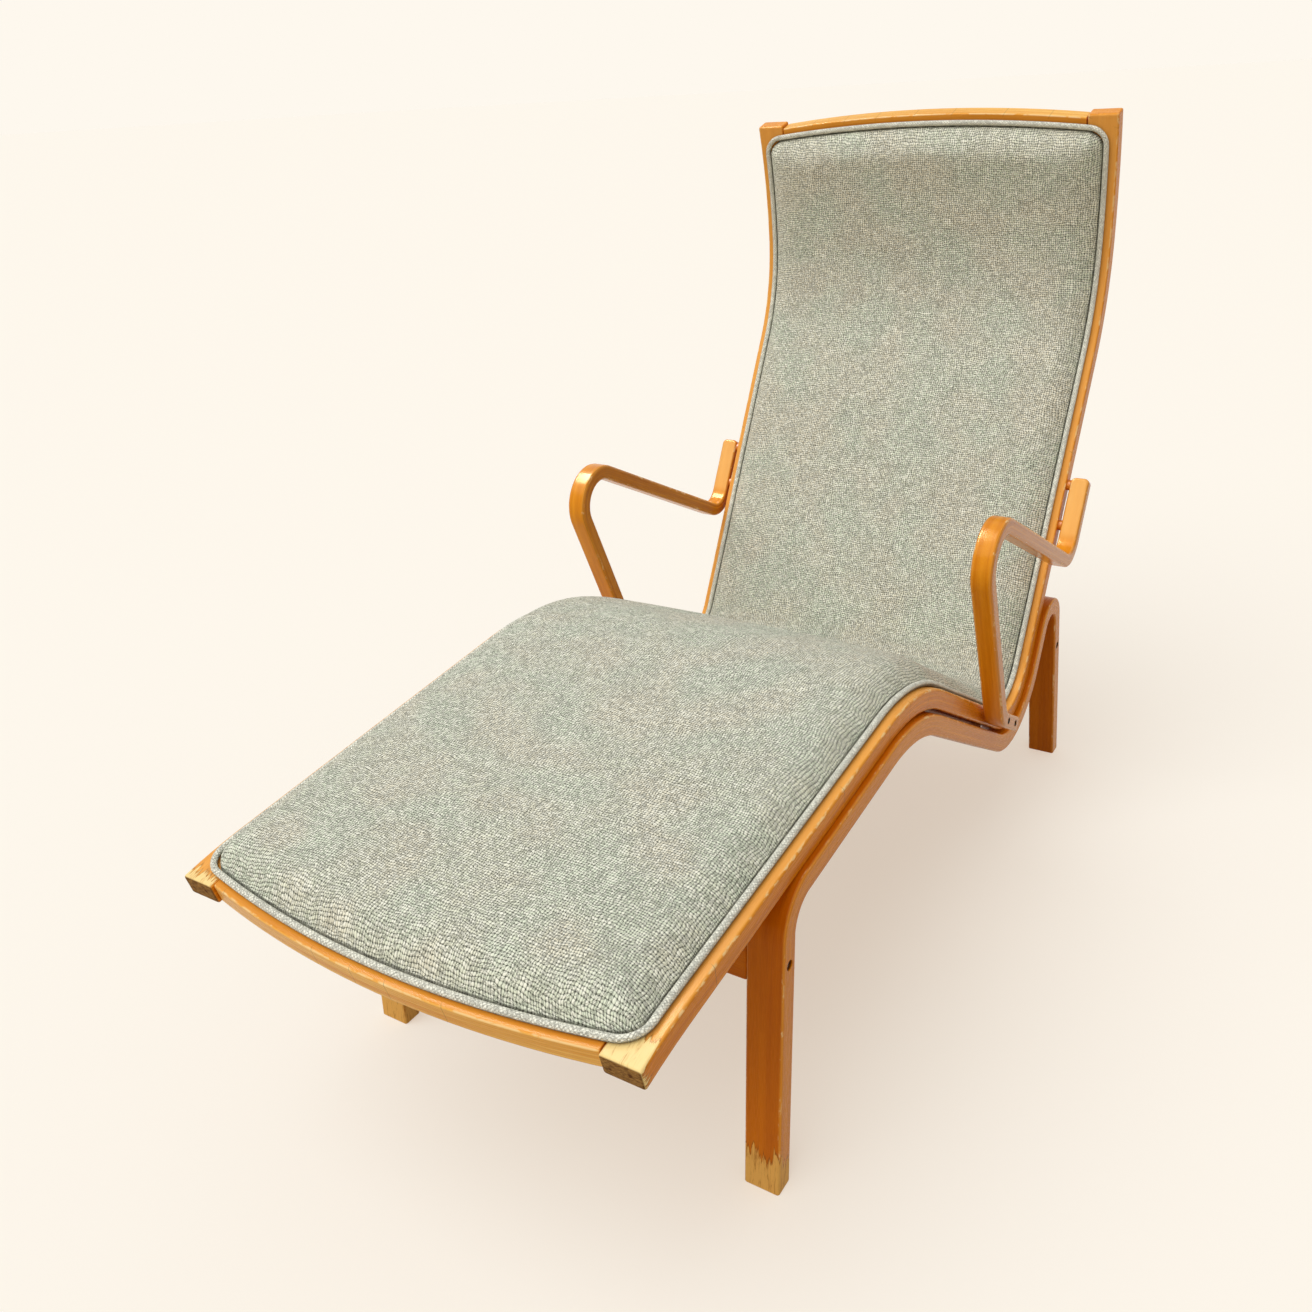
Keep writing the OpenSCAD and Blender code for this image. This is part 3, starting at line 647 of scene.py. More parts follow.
    inner = (half - abs(x)).under(d * -1).under(d + thickness)
    if end_grain:
        cut = 1 - s.step(0.0003, 0.0016)
        rings = f.noise(x * 160, d * 500, tag, 4.0, 0.6, 1.2)
        end_colour = f.mix(rings.step(0.32, 0.66), look.end_dark, look.end_light)
        knots = []
        for knot_x, knot_d, size in ((0.009, -0.011, 0.000011), (-0.012, -0.014, 0.000006)):
            off_x, off_d = abs(x - knot_x), abs(d - knot_d)
            knots.append(1 - (off_x * off_x + off_d * off_d).step(0.0, size))
        end_colour = f.mix(knots[0].over(knots[1]) * 0.9, end_colour, look.crack_and_shade)
        # The end face is darker towards its edges
        end_colour = f.mix((1 - inner.step(0.0006, 0.0034)) * 0.6, end_colour, look.crack_and_shade)
        colour = f.mix(cut, colour, end_colour)
        rough = rough + cut * 0.25

    # Painted shade inside holes and pockets, away from the strip's ends
    if length:
        deep = inner.step(0.0008, 0.002) * s.step(0.009, 0.01) * (length - s).step(0.009, 0.01)
        colour = f.mix(deep * 0.85, colour, look.crack_and_shade)
    f.set(
        Base_Color=colour, Roughness=rough, Specular_IOR_Level=look.gloss + shine,
        Specular_Tint=look.gloss_tint, Coat_Weight=look.coat, Coat_Roughness=0.12,
    )
    f.bump(figure * 0.3 + pores * 0.35 - joint * 0.5 + wear * 0.3, 0.0002, 0.7)
    return f.material


def plain_wood_finish(name, dark, light, scale, rough, spread, strength):
    """Wood of a small part, with its grain's scale along each axis."""
    f = Finish(name)
    grain = f.noise(*(place * k for place, k in zip(f.own_place(), scale)), 3.0)
    f.set(Base_Color=f.mix(grain.step(0.3, 0.7), dark, light), Roughness=rough + grain * spread)
    f.bump(grain, 0.0002, strength)
    return f.material


def weave_values(f, u, v):
    """Height of a plain weave at a place counted in threads, and the crossing's own number."""
    iu, iv = math.floor(u), math.floor(v)
    warp_round = (1 - (u.part() * 2 - 1) ** 2.0) ** 0.5
    weft_round = (1 - (v.part() * 2 - 1) ** 2.0) ** 0.5
    warp = warp_round * (((v - 0.5 + iu) * math.pi).cosine() * 0.5 + 0.5)
    weft = weft_round * (0.5 - ((u - 0.5 + iv) * math.pi).cosine() * 0.5)
    crossing = f.vector(iu, iv, 0.0)
    own = f.node("ShaderNodeTexWhiteNoise", {"noise_dimensions": "3D"}, [crossing])
    return warp.over(weft), own


def cloth_finish(name, pitch, sway, along_turn=0.0, cord_r=0.0):
    """Woven wool in grey-green and beige yarns, with painted shade where pad and piping meet and
    on the piping's sides.
    """
    look = bpy.context.scene.chair_cloth
    f = Finish(name)
    x, s, edge = f.laid()
    u, v = x / pitch, s / pitch
    if along_turn:
        c, n = math.cos(along_turn) / pitch, math.sin(along_turn) / pitch
        u, v = x * c + s * n, s * c - x * n
    if sway:
        u = u + (f.noise(x * 13, s * 13, 0.0, 2.0) - 0.5) * sway
        u = u + (f.noise(x * 75, s * 75, 9.0, 1.0) - 0.5) * look.stagger
        v = v + (f.noise(x * 13, s * 13, 4.0, 2.0) - 0.5) * sway
        v = v + (f.noise(x * 75, s * 75, 13.0, 1.0) - 0.5) * look.stagger
    height, own = weave_values(f, u, v)
    slub = f.noise(x * 210, s * 210, 7.0, 1.0)
    worm = abs(f.noise(x * 125, s * 125, 21.0, 2.0, 0.5, 1.8) - 0.5).step(0.0, 0.055)
    shade = height.step(0.21, 0.74) * (worm * 0.42 + 0.58)
    if cord_r:
        yarn = look.pale
        shade = shade.over(0.7)
        # Painted shade on the cord's sides, away from its top
        painted_shade = 1 - (x / cord_r - math.pi / 2).cosine().step(-0.3, 0.3)
    else:
        patch = f.noise(x * 11, s * 11, 2.0, 2.0, 0.5)
        yarn = f.mix(patch.step(0.35, 0.65), look.green, look.beige)
        pale = (own * 0.7 + slub * 0.9 - 0.3).step(0.25, 0.8)
        yarn = f.mix(pale * 0.75, yarn, look.pale)
        # Painted shade in the groove along the pad's edge
        painted_shade = 1 - edge.step(0.0002, 0.002)
    colour = f.mix(painted_shade * 0.7, f.mix(shade, look.gap, yarn), look.shadow)
    f.set(
        Base_Color=colour, Roughness=0.92, Specular_IOR_Level=0.15,
        Sheen_Weight=0.08, Sheen_Roughness=0.5,
    )
    f.bump(height * 0.8 + worm * 0.7 + slub * 0.25 + own * 0.2, 0.0011, 1.0)
    return f.material


def webbing_finish(name):
    look = bpy.context.scene.chair_fittings
    f = Finish(name)
    x, s, _ = f.laid()
    height, own = weave_values(f, x / look.webbing_pitch, s / look.webbing_pitch)
    band = abs(abs(x) - 0.015).step(0.003, 0.0036)
    yarn = f.mix(own * 0.5, look.webbing, look.webbing_pale)
    yarn = f.mix((1 - band) * 0.8, yarn, look.webbing_band)
    colour = f.mix(height.step(0.1, 0.6), look.webbing_gap, yarn)
    f.set(Base_Color=colour, Roughness=0.85, Specular_IOR_Level=0.25)
    f.bump(height + own * 0.2, 0.0005, 0.9)
    return f.material


def lining_finish(name):
    look = bpy.context.scene.chair_cloth
    f = Finish(name)
    x, s, _ = f.laid()
    height, own = weave_values(f, x / look.lining_pitch, s / look.lining_pitch)
    patch = f.noise(x * 9, s * 9, 1.0, 3.0)
    yarn = f.mix(patch.step(0.3, 0.7), look.lining, look.lining_pale)
    colour = f.mix(height.step(0.0, 0.5) * 0.6 + 0.4, look.gap, yarn)
    f.set(Base_Color=colour, Roughness=0.9, Specular_IOR_Level=0.2)
    f.bump(height + own * 0.3, 0.0004, 0.7)
    return f.material


def steel_finish(name):
    look = bpy.context.scene.chair_fittings
    f = Finish(name)
    x, y, z = f.own_place()
    spangle = f.noise(x * 600, y * 600, z * 600, 2.0)
    brushed = f.noise(x * 90, y * 2500, z * 2500, 1.0)
    dust = f.noise(x * 120, y * 120, z * 120, 3.0).step(0.5, 0.75)
    colour = f.mix(spangle.step(0.35, 0.7), look.steel_dark, look.steel)
    f.set(
        Base_Color=f.mix(dust * 0.5, colour, look.tarnish), Metallic=1.0 - dust * 0.3,
        Roughness=0.34 + brushed * 0.2 + dust * 0.2,
    )
    f.bump(brushed, 0.00005, 0.5)
    return f.material


# Settings


def tint(name, description, *screen):
    """A colour, given as a screen shows it, 0 to 255, and kept as the linear one."""
    shares = [c / 255 for c in screen]
    linear = tuple(c / 12.92 if c <= 0.04045 else ((c + 0.055) / 1.055) ** 2.4 for c in shares)
    return FloatVectorProperty(
        name=name, description=description, subtype="COLOR", size=3, default=linear,
        min=0.0, max=1.0,
    )


def measure(name, description, default, high, low=0.001):
    return FloatProperty(
        name=name, description=description, default=default, min=low, max=high, unit="LENGTH"
    )


def level(name, description, default, high):
    return FloatProperty(name=name, description=description, default=default, min=0.0, max=high)


class ChairWood(bpy.types.PropertyGroup):
    """Shape and tones of the lacquered wood."""

    arris: measure("Arris", "Radius of the arrises of rails and base strips", 0.003, 0.006)
    arm_arris: measure("Arm arris", "Radius of the arrises of the arms", 0.0042, 0.008)
    ply: measure("Ply", "Thickness of one ply of the laminated strips", 0.0033, 0.006)
    light: tint("Light grain", "Lighter grain of the rails", 242, 162, 56)
    dark: tint("Dark grain", "Darker grain of the rails", 219, 131, 23)
    side_light: tint("Light edge", "Lighter ply edges of the rails", 236, 146, 16)
    side_dark: tint("Dark edge", "Darker ply edges of the rails", 212, 120, 6)
    cross_light: tint("Light cross grain", "Lighter grain of a cross rail", 238, 158, 54)
    cross_dark: tint("Dark cross grain", "Darker grain of a cross rail", 214, 126, 22)
    cross_side_light: tint("Light front", "Lighter front of a cross rail", 254, 200, 104)
    cross_side_dark: tint("Dark front", "Darker front of a cross rail", 234, 160, 60)
    base_light: tint("Light base grain", "Lighter grain of the base", 213, 118, 8)
    base_dark: tint("Dark base grain", "Darker grain of the base", 187, 93, 4)
    base_side_light: tint("Light base edge", "Lighter ply edges of the base", 234, 148, 20)
    base_side_dark: tint("Dark base edge", "Darker ply edges of the base", 210, 120, 8)
    arm_light: tint("Light arm grain", "Lighter grain of the arms", 240, 156, 32)
    arm_dark: tint("Dark arm grain", "Darker grain of the arms", 212, 122, 10)
    arm_side_light: tint("Light arm edge", "Lighter ply edges of the arms", 218, 134, 14)
    arm_side_dark: tint("Dark arm edge", "Darker ply edges of the arms", 190, 104, 4)
    glue: tint("Glue line", "Glue between two plies", 122, 60, 8)
    # Painted highlight on the outer face, where the light falls
    painted_top_highlight: tint("Painted top highlight", "Lacquer faded by light", 248, 186, 104)
    # Painted highlight along the arrises
    painted_arris_highlight: tint("Arris highlight", "Painted highlight along an arris", 244, 176, 84)
    worn: tint("Worn arris", "Rubbed lacquer on an arris", 252, 222, 164)
    # Hair cracks, and also the painted shade inside holes and pockets
    crack_and_shade: tint("Crack", "Hair cracks in the lacquer, and painted shade in recesses", 84, 42, 10)
    bare: tint("Bare wood", "Scraped wood of the rails, and the dowels", 250, 220, 150)
    bare_dark: tint("Bare grain", "Dark grain of that wood", 196, 138, 64)
    base_bare: tint("Bare foot", "Scraped wood of the feet", 234, 178, 92)
    base_bare_dark: tint("Bare foot grain", "Dark grain of the scraped feet", 168, 100, 34)
    end_light: tint("Light end grain", "Lighter end grain", 172, 128, 70)
    end_dark: tint("Dark end grain", "Darker end grain", 92, 60, 26)
    gloss_tint: tint("Gloss tint", "Tint of the lacquer's gloss", 255, 222, 160)
    gloss: level("Gloss", "Strength of the lacquer's gloss", 0.12, 1.0)
    coat: level("Coat", "Weight of the clear coat", 0.02, 1.0)


class ChairCloth(bpy.types.PropertyGroup):
    """Shape and tones of the pad's cloth."""

    pitch: measure("Thread pitch", "Distance between two threads", 0.0031, 0.006)
    piping_pitch: measure("Piping pitch", "Distance between two of its threads", 0.003, 0.006)
    lining_pitch: measure("Lining pitch", "Distance between two of its threads", 0.0011, 0.003)
    sway: level("Sway", "Threads by which a thread wanders over a hand's width", 5.0, 12.0)
    stagger: level("Stagger", "The same over a finger's width", 1.6, 6.0)
    pressure: level("Pressure", "Pressure of the filling under the cloth", 4.0, 12.0)
    swell: measure("Swell", "How far the filling may push the cloth", 0.0025, 0.016, 0.0)
    crown: measure("Crown", "Extra height along the pad's middle", PAD_CROWN, 0.008, 0.0)
    green: tint("Green yarn", "Grey-green yarn", 233, 240, 217)
    beige: tint("Beige yarn", "Beige yarn", 244, 239, 216)
    pale: tint("Pale yarn", "Pale tops of the yarn", 255, 254, 238)
    gap: tint("Gap", "Shade between the threads", 52, 58, 40)
    # Painted shade beside and on the piping
    shadow: tint("Groove", "Painted shade in the groove beside the piping and on the piping's sides", 60, 58, 44)
    lining: tint("Lining", "Cloth under the pad", 196, 186, 160)
    lining_pale: tint("Pale lining", "Paler lining cloth", 214, 206, 184)


class ChairFittings(bpy.types.PropertyGroup):
    """Tones of the fittings and the webbing."""

    steel: tint("Steel", "Zinc-plated steel", 196, 198, 198)
    steel_dark: tint("Dark steel", "Darker spangle of the zinc", 150, 154, 158)
    tarnish: tint("Tarnish", "Dust and tarnish", 112, 98, 78)
    webbing_pitch: measure("Webbing pitch", "Distance between two jute threads", 0.0016, 0.004)
    webbing: tint("Webbing", "Jute webbing", 178, 148, 104)
    webbing_pale: tint("Pale webbing", "Paler jute", 206, 180, 138)
    webbing_band: tint("Band", "Woven band in the webbing", 92, 70, 46)
    webbing_gap: tint("Webbing gap", "Shade between the jute threads", 84, 64, 40)


class ChairStage(bpy.types.PropertyGroup):
    """Floor, background and light."""

    background: tint("Background", "Colour of floor and background", 254, 248, 238)
    shadow: FloatVectorProperty(
        name="Shadow", description="How much of the shadow the floor shows in red, green and blue",
        default=(0.43, 0.5, 0.55), min=0.0, max=1.0, size=3,
    )
    sky: level("Sky", "Level of the even light", 0.5, 2.0)
    key: level("Key", "Level of the light from above", 0.5, 2.0)
    gloss: level("Gloss", "Level of the lamp that the lacquer mirrors", 1.35, 4.0)


# The chair's pieces


class ChairBuild:
    """What the operators share."""

    bl_options = {"REGISTER", "UNDO"}


class BentPair(ChairBuild):
    """A right and a left strip that are bent along one track."""

    spare = end_radius = 0.0

    def bend_both(self, finish, tones, arris, **wear):
        """Makes both strips; wear says how their lacquer has aged and where a highlight is painted
        on it.
        """
        low, high = self.planes
        width, middle, length = high - low, (high + low) / 2, self.track.length
        material = wood_finish(finish, tones, width, self.thickness, arris, length, **wear)
        for number, (side, hand) in enumerate(HANDS, self.number):
            bm = board(
                width, self.thickness, -self.spare, length + self.spare, arris, self.end_radius
            )
            self.carve(bm, hand, hand * width / 2)
            bend(bm, self.track, hand * middle)
            self.trim(bm, hand)
            finished(
                self.prefix + side, bm,
                lambda p, x=hand * middle: self.track.locate(p, -self.thickness / 2, x),
                number, material, [self.node + side], self.slot,
            )

    def trim(self, bm, hand):
        """What is done to a strip once it is bent."""


class CHAIR_OT_side_rails(BentPair, bpy.types.Operator):
    """Bends the two side rails, with the webbing pockets in their inner faces"""

    bl_idname = "chair.side_rails"
    bl_label = "Side Rails"
    prefix, node, number, slot = "rail_", "side_rail_", 0, "lacquered_wood"
    track, planes, thickness = rail_track, (RAIL_IN, RAIL_OUT), RAIL_T

    def execute(self, context):
        self.bend_both(
            "rail_lacquer", "", context.scene.chair_wood.arris, foot_wear=[(0, 0.034, 0.1)],
            uneven=0.7, faded=0.5, cracks=0.8, rubbing=0.05, end_grain=True,
        )
        return {"FINISHED"}

    def carve(self, bm, hand, side):
        inward = Vector((-hand, 0.0, 0.0))
        for i in range(STRAP_N):
            place = Vector((-side, STRAP_MARGIN + i * STRAP_PITCH, -STRAP_DROP))
            sink_pocket(bm, place, inward, STRAP_W / 2 + FIT, POCKET_H / 2, CLIP_L)
        for share in ARM_BACK_SCREWS:
            screw = arm_track.place((0.0, arm_track.length - ARM_REAR_L * share, -ARM_T / 2))
            place = rail_track.locate(screw, -RAIL_T / 2)
            place.x = -side
            sink_hole(bm, place, inward, COUNTERSINK_R, COUNTERSINK)


class CHAIR_OT_cross_rails(ChairBuild, bpy.types.Operator):
    """Bows the two cross rails between the side rails' ends"""

    bl_idname = "chair.cross_rails"
    bl_label = "Cross Rails"

    def execute(self, context):
        arris = context.scene.chair_wood.arris * 0.8
        material = wood_finish(
            "cross_rail_lacquer", "cross_", CROSS_W, CROSS_T, arris, faded=0.12, cracks=0.6,
            rubbing=0.11, shine=-0.05,
        )
        self.bow("foot_rail", 5, arris, material, FOOT_R, FOOT_CENTRE, -1, FOOT_GAP)
        self.bow("head_rail", 6, arris, material, HEAD_R, HEAD_CENTRE, 1, HEAD_GAP)
        return {"FINISHED"}

    def bow(self, node, number, arris, material, radius, centre, way, gap):
        """Makes one cross rail; way is the side of its circle's centre on which it lies."""
        half = RAIL_IN + SAW_SPARE
        bm = board(CROSS_W, CROSS_T, -half, half, arris)
        slice_across(bm, 1, [half * k / 12 for k in range(-11, 12)])
        for vert in bm.verts:
            swing = vert.co.y / radius
            reach = radius - CROSS_W / 2 - vert.co.x
            along = centre + way * reach * math.cos(swing)
            vert.co = rail_track.place(Vector((reach * math.sin(swing), along, vert.co.z)))

        def locate(p):
            flat = rail_track.locate(p, -CROSS_T / 2)
            run = way * (flat.y - centre)
            reach = math.hypot(flat.x, run)
            swing = math.atan2(flat.x, run)
            return Vector((radius - CROSS_W / 2 - reach, radius * swing, flat.z))

        for hand in (1, -1):
            saw = Vector((hand * (RAIL_IN - gap), 0, 0))
            cut_away(bm, saw, Vector((hand, 0, 0)), CROSS_SAWN_R)
        finished("bowed_" + node, bm, locate, number, material, [node], "lacquered_wood")


class CHAIR_OT_base_strips(BentPair, bpy.types.Operator):
    """Bends the base strips, each one front leg, bearer, arch and rear leg"""

    bl_idname = "chair.base_strips"
    bl_label = "Base Strips"
    prefix, node, number, slot = "leg_base_strip_", "base_strip_", 10, "lacquered_base_wood"
    track, planes, thickness, spare = base_track, (BASE_IN, BASE_OUT), BASE_T, BASE_T

    def execute(self, context):
        self.bend_both(
            "base_lacquer", "base_", context.scene.chair_wood.arris,
            foot_wear=[(0, 0.05, 0.85), (1, 0.006, 1.0)], cracks=0.3,
        )
        return {"FINISHED"}

    def carve(self, bm, hand, side):
        for s in (FRONT_BOLT_S, REAR_BOLT_S):
            place = Vector((side, s, -BASE_T / 2))
            sink_hole(bm, place, Vector((hand, 0, 0)), BOLT_RECESS_R, BOLT_RECESS)
        screw_x = (max(RAIL_IN, BASE_IN) + RAIL_OUT) / 2 - (BASE_OUT + BASE_IN) / 2
        for move, shares in ((BEARER, BEARER_SCREWS), (RISER, RISER_SCREWS)):
            run = base_track.moves[move]
            for share in shares:
                place = Vector((hand * screw_x, run.start + run.length * share, -BASE_T))
                sink_hole(bm, place, Vector((0, 0, -1)), COUNTERSINK_R, COUNTERSINK)

    def trim(self, bm, hand):
        """Saws the legs off at the floor and adds the filler on the seat's inner side."""
        cut_away(bm, Vector((0, 0, 0)), Vector((0, 0, -1)), LEG_SAWN_R)
        seat = base_track.moves[SADDLE]
        height, end = SEAT_GAP - FILLER_FIT, seat.start + seat.length
        filler = board(FILLER_W, height, seat.start, end, FILLER_R)
        lift = SEAT_GAP - FILLER_FIT / 2
        bmesh.ops.translate(filler, vec=(0, 0, lift), verts=filler.verts[:])
        bend(filler, base_track, hand * (BASE_IN + FILLER_SET))
        join(bm, filler)


class CHAIR_OT_arms(BentPair, bpy.types.Operator):
    """Bends the arms, with two screw recesses in each tail"""

    bl_idname = "chair.arms"
    bl_label = "Arms"
    prefix, node, number, slot = "bent_arm_", "arm_", 20, "lacquered_wood"
    track, planes, thickness, end_radius = arm_track, (ARM_IN, ARM_OUT), ARM_T, ARM_END_R

    def execute(self, context):
        # On the arms only the rear uprights get the painted highlight on their outer face
        self.bend_both(
            "arm_lacquer", "arm_", context.scene.chair_wood.arm_arris, faded=0.85,
            faded_from=arm_track.length - ARM_REAR_L, cracks=0.15, shine=0.26,
        )
        return {"FINISHED"}

    def carve(self, bm, hand, side):
        for s in TAIL_SCREWS:
            place = Vector((side, s, -ARM_T / 2))
            sink_hole(bm, place, Vector((hand, 0, 0)), SCREW_RECESS_R, SCREW_RECESS)


class CHAIR_OT_stretchers(ChairBuild, bpy.types.Operator):
    """Sets a board between the front legs and one between the rear legs"""

    bl_idname = "chair.stretchers"
    bl_label = "Stretchers"

    def execute(self, context):
        arris = context.scene.chair_wood.arris
        material = wood_finish("stretcher_lacquer", "base_", STRETCHER_H, STRETCHER_T, arris)
        places = (("front_stretcher", FRONT_BOLT_S), ("rear_stretcher", REAR_BOLT_S))
        for number, (node, s) in enumerate(places, 30):
            bm = board(STRETCHER_H, STRETCHER_T, -BASE_IN, BASE_IN, arris)
            seat = base_track.crossing(s, -BASE_T / 2 + STRETCHER_T / 2)
            bm.transform(seat)
            finished(
                "board_" + node, bm, lambda p, m=seat.inverted(): m @ p, number, material,
                [node], "lacquered_base_wood",
            )
        return {"FINISHED"}


# The pad's plan: X across, and S along the rails' sitting line

PAD_HALF = RAIL_OUT - PAD_SIDE
PAD_FOOT = CROSS_SET - FOOT_BOW + PAD_END
PAD_HEAD = rail_track.length - CROSS_SET + HEAD_BOW - PAD_END


def smooth(t):
    t = min(max(t, 0.0), 1.0)
    return t * t * (3 - 2 * t)


def sag(radius, x):
    return radius - math.sqrt(radius * radius - x * x)


def bowed(x, s):
    """Place along the rail of a plan point, where the ends follow the bowed cross rails."""
    foot = 1 - smooth((s - PAD_FOOT - PAD_CORNER_R) / PAD_BOW_L)
    head = 1 - smooth((PAD_HEAD - s - PAD_CORNER_R) / PAD_BOW_L)
    return s + sag(FOOT_R, x) * foot - sag(HEAD_R, x) * head


def half_width(d, inset):
    """Half the pad's width at a distance from its end, inside its rounded corners."""
    radius = PAD_CORNER_R - inset
    within = radius - min(max(d, 0.0), radius)
    return PAD_HALF - inset - radius + math.sqrt(radius * radius - within * within)


def pad_height(x, d, half, crown):
    """Height of the cloth over the sitting line, falling to the piping all round."""
    inside = min(half - abs(x), d)
    soft = 1 - (1 - min(max(inside, 0.0), PAD_SOFT) / PAD_SOFT) ** 2.2
    groove = PAD_LIP * (1 - smooth(inside / SEWN_W))
    middle = 1 - (x / PAD_HALF) ** 2
    return PAD_EDGE_T - groove + soft * (PAD_T - PAD_CROWN - PAD_EDGE_T + crown * middle)


class CHAIR_OT_pad(ChairBuild, bpy.types.Operator):
    """Crowns the pad along the sitting line and puffs up its cloth"""

    bl_idname = "chair.pad"
    bl_label = "Pad"

    def execute(self, context):
        look = context.scene.chair_cloth
        inset = 2 * PIPING_R - FIT
        first, last, widest = PAD_FOOT + inset, PAD_HEAD - inset, half_width(1.0, inset)
        bm = bmesh.new()
        flat = bm.verts.layers.float_vector.new("flat")
        rim = bm.verts.layers.float.new("rim")
        crease = bm.edges.layers.float.new("crease_edge")
        bmesh.ops.create_grid(bm, x_segments=PAD_COLUMNS, y_segments=PAD_ROWS, size=1.0)
        top = bmesh.ops.extrude_face_region(bm, geom=bm.faces[:])["geom"]
        upper = {g for g in top if isinstance(g, bmesh.types.BMVert)}
        for vert in bm.verts:
            # Rows and columns stand closer together towards the edges
            across = math.sin(vert.co.x * math.pi / 2) * 0.12 + vert.co.x * 0.88
            run = (vert.co.y + 1) / 2
            run = run - math.sin(run * 2 * math.pi) * 0.006
            s = first + (last - first) * run
            d = min(s - first, last - s)
            x = across * half_width(d, inset)
            height = UNDERSIDE
            if vert in upper:
                height = pad_height(x, d, widest, look.crown) if d > 0 else PAD_LIP
            vert[flat] = (x, bowed(x, s), height)
            vert[rim] = min(widest - abs(x), d)
            vert.co = rail_track.place(vert[flat])
        bm.normal_update()
        for edge in bm.edges:
            if edge.calc_face_angle() > math.radians(60):
                edge[crease] = 1.0
        places = {tuple(v.co): Vector((*v[flat][:2], v[rim])) for v in bm.verts}
        piece = finished(
            "piped_pad", bm, lambda p: places[tuple(p)], 40,
            cloth_finish("woven_cloth", look.pitch, look.sway), ["pad_cover", "pad_foam"],
            "woven_fabric", even=False,
        )
        self.swell(context.scene, piece, look)
        even = piece.modifiers.new("Smooth cloth", "SUBSURF")
        even.levels = even.render_levels = 1
        return {"FINISHED"}

    def swell(self, scene, piece, look):
        """Lets the filling press the cloth out, held at the piping and on its underside."""
        mesh = piece.data
        flat, rim = mesh.attributes["flat"].data, mesh.attributes["rim"].data
        floor = UNDERSIDE + 1e-5
        sewn = [i for i in range(len(flat)) if rim[i].value < SEWN_W or flat[i].vector.z < floor]
        group = piece.vertex_groups.new(name="sewn")
        group.add(sewn, 1.0, "REPLACE")
        cloth = piece.modifiers.new("Cloth", "CLOTH")
        cloth.settings.vertex_group_mass = group.name
        cloth.settings.use_pressure = True
        cloth.settings.uniform_pressure_force = look.pressure
        cloth.settings.effector_weights.gravity = 0.0
        cloth.point_cache.frame_start, cloth.point_cache.frame_end = 1, SETTLE_FRAMES
        for number in range(1, SETTLE_FRAMES + 1):
            scene.frame_set(number)
        settled = piece.evaluated_get(bpy.context.evaluated_depsgraph_get())
        ends = [vert.co.copy() for vert in settled.data.vertices]
        piece.modifiers.remove(cloth)
        piece.vertex_groups.remove(group)
        outward = [vert.normal.copy() for vert in mesh.vertices]
        for vert, end, normal in zip(mesh.vertices, ends, outward):
            shift = end - vert.co
            shift -= normal * min(0.0, shift.dot(normal))
            vert.co += shift * min(1.0, look.swell / max(shift.length, 1e-9))
        scene.frame_set(1)


def outline_point(t, inset):
    """A plan point and its outward direction, t metres round the pad's rounded outline."""
    radius = PAD_CORNER_R - inset
    half = PAD_HALF - inset - radius
    first, last = PAD_FOOT + inset + radius, PAD_HEAD - inset - radius
    quarter = radius * math.pi / 2
    sides = [
        (half, first, -math.pi / 2, 0.0), (half, last, 0.0, math.pi / 2),
        (-half, last, math.pi / 2, math.pi), (-half, first, math.pi, math.pi * 1.5),
    ]
    runs = [last - first, 2 * half, last - first, 2 * half]
    for (cx, cs, start, end), run in zip(sides, runs):
        if t < quarter:
            out = ahead(start + t / radius)
            return Vector((cx, cs)) + radius * out, out
        t -= quarter
        if t < run:
            out = ahead(end)
            return Vector((cx, cs)) + radius * out + t * Vector((-out.y, out.x)), out
        t -= run
    return outline_point(0.0, inset)


def outline_length(inset):
    radius = PAD_CORNER_R - inset
    straight = 2 * (PAD_HEAD - PAD_FOOT) + 4 * PAD_HALF - 8 * (inset + radius)
    return straight + 2 * math.pi * radius


class CHAIR_OT_piping(ChairBuild, bpy.types.Operator):
    """Lays the covered cord round the pad's edge"""

    bl_idname = "chair.piping"
    bl_label = "Piping"

    def execute(self, context):
        length = outline_length(PIPING_R)
        ring = length / (2 * math.pi)
        bm = bmesh.new()
        upright = Matrix.Translation((ring, 0, 0)) @ Matrix.Rotation(math.pi / 2, 4, "X")
        bmesh.ops.create_circle(
            bm, cap_ends=False, radius=PIPING_R, segments=PIPING_SIDES, matrix=upright
        )
        bmesh.ops.spin(
            bm, geom=bm.verts[:] + bm.edges[:], cent=(0, 0, 0), axis=(0, 0, 1),
            angle=2 * math.pi, steps=PIPING_TURNS, use_merge=True,
        )
        laid = {}
        for vert in bm.verts:
            t = (math.atan2(vert.co.y, vert.co.x) % (2 * math.pi)) * ring
            if length - t < 1e-5:
                t = 0.0
            out = math.hypot(vert.co.x, vert.co.y) - ring
            around = math.atan2(vert.co.z, out) * PIPING_R
            plan, away = outline_point(t, PIPING_R)
            flat = plan + away * out
            rise = FIT + PIPING_R + vert.co.z
            vert.co = rail_track.place((flat.x, bowed(flat.x, flat.y), rise))
            laid[tuple(vert.co)] = Vector((around, t, 0.0))
        pitch = context.scene.chair_cloth.piping_pitch
        piece = finished(
            "pad_cord", bm, lambda p: laid[tuple(p)], 41,
            cloth_finish("piping_cloth", pitch, 0.0, math.pi / 4, PIPING_R), ["pad_piping"],
            "woven_fabric", even=False,
        )
        # A face across the start of the cord's length or girth counts on past the end of it
        layer = piece.data.attributes["laid"].data
        for face in piece.data.polygons:
            loops = [layer[i] for i in face.loop_indices]
            for part, whole in ((0, 2 * math.pi * PIPING_R), (1, length)):
                high = max(loop.vector[part] for loop in loops)
                for loop in loops:
                    if high - loop.vector[part] > whole / 2:
                        loop.vector[part] += whole
        return {"FINISHED"}


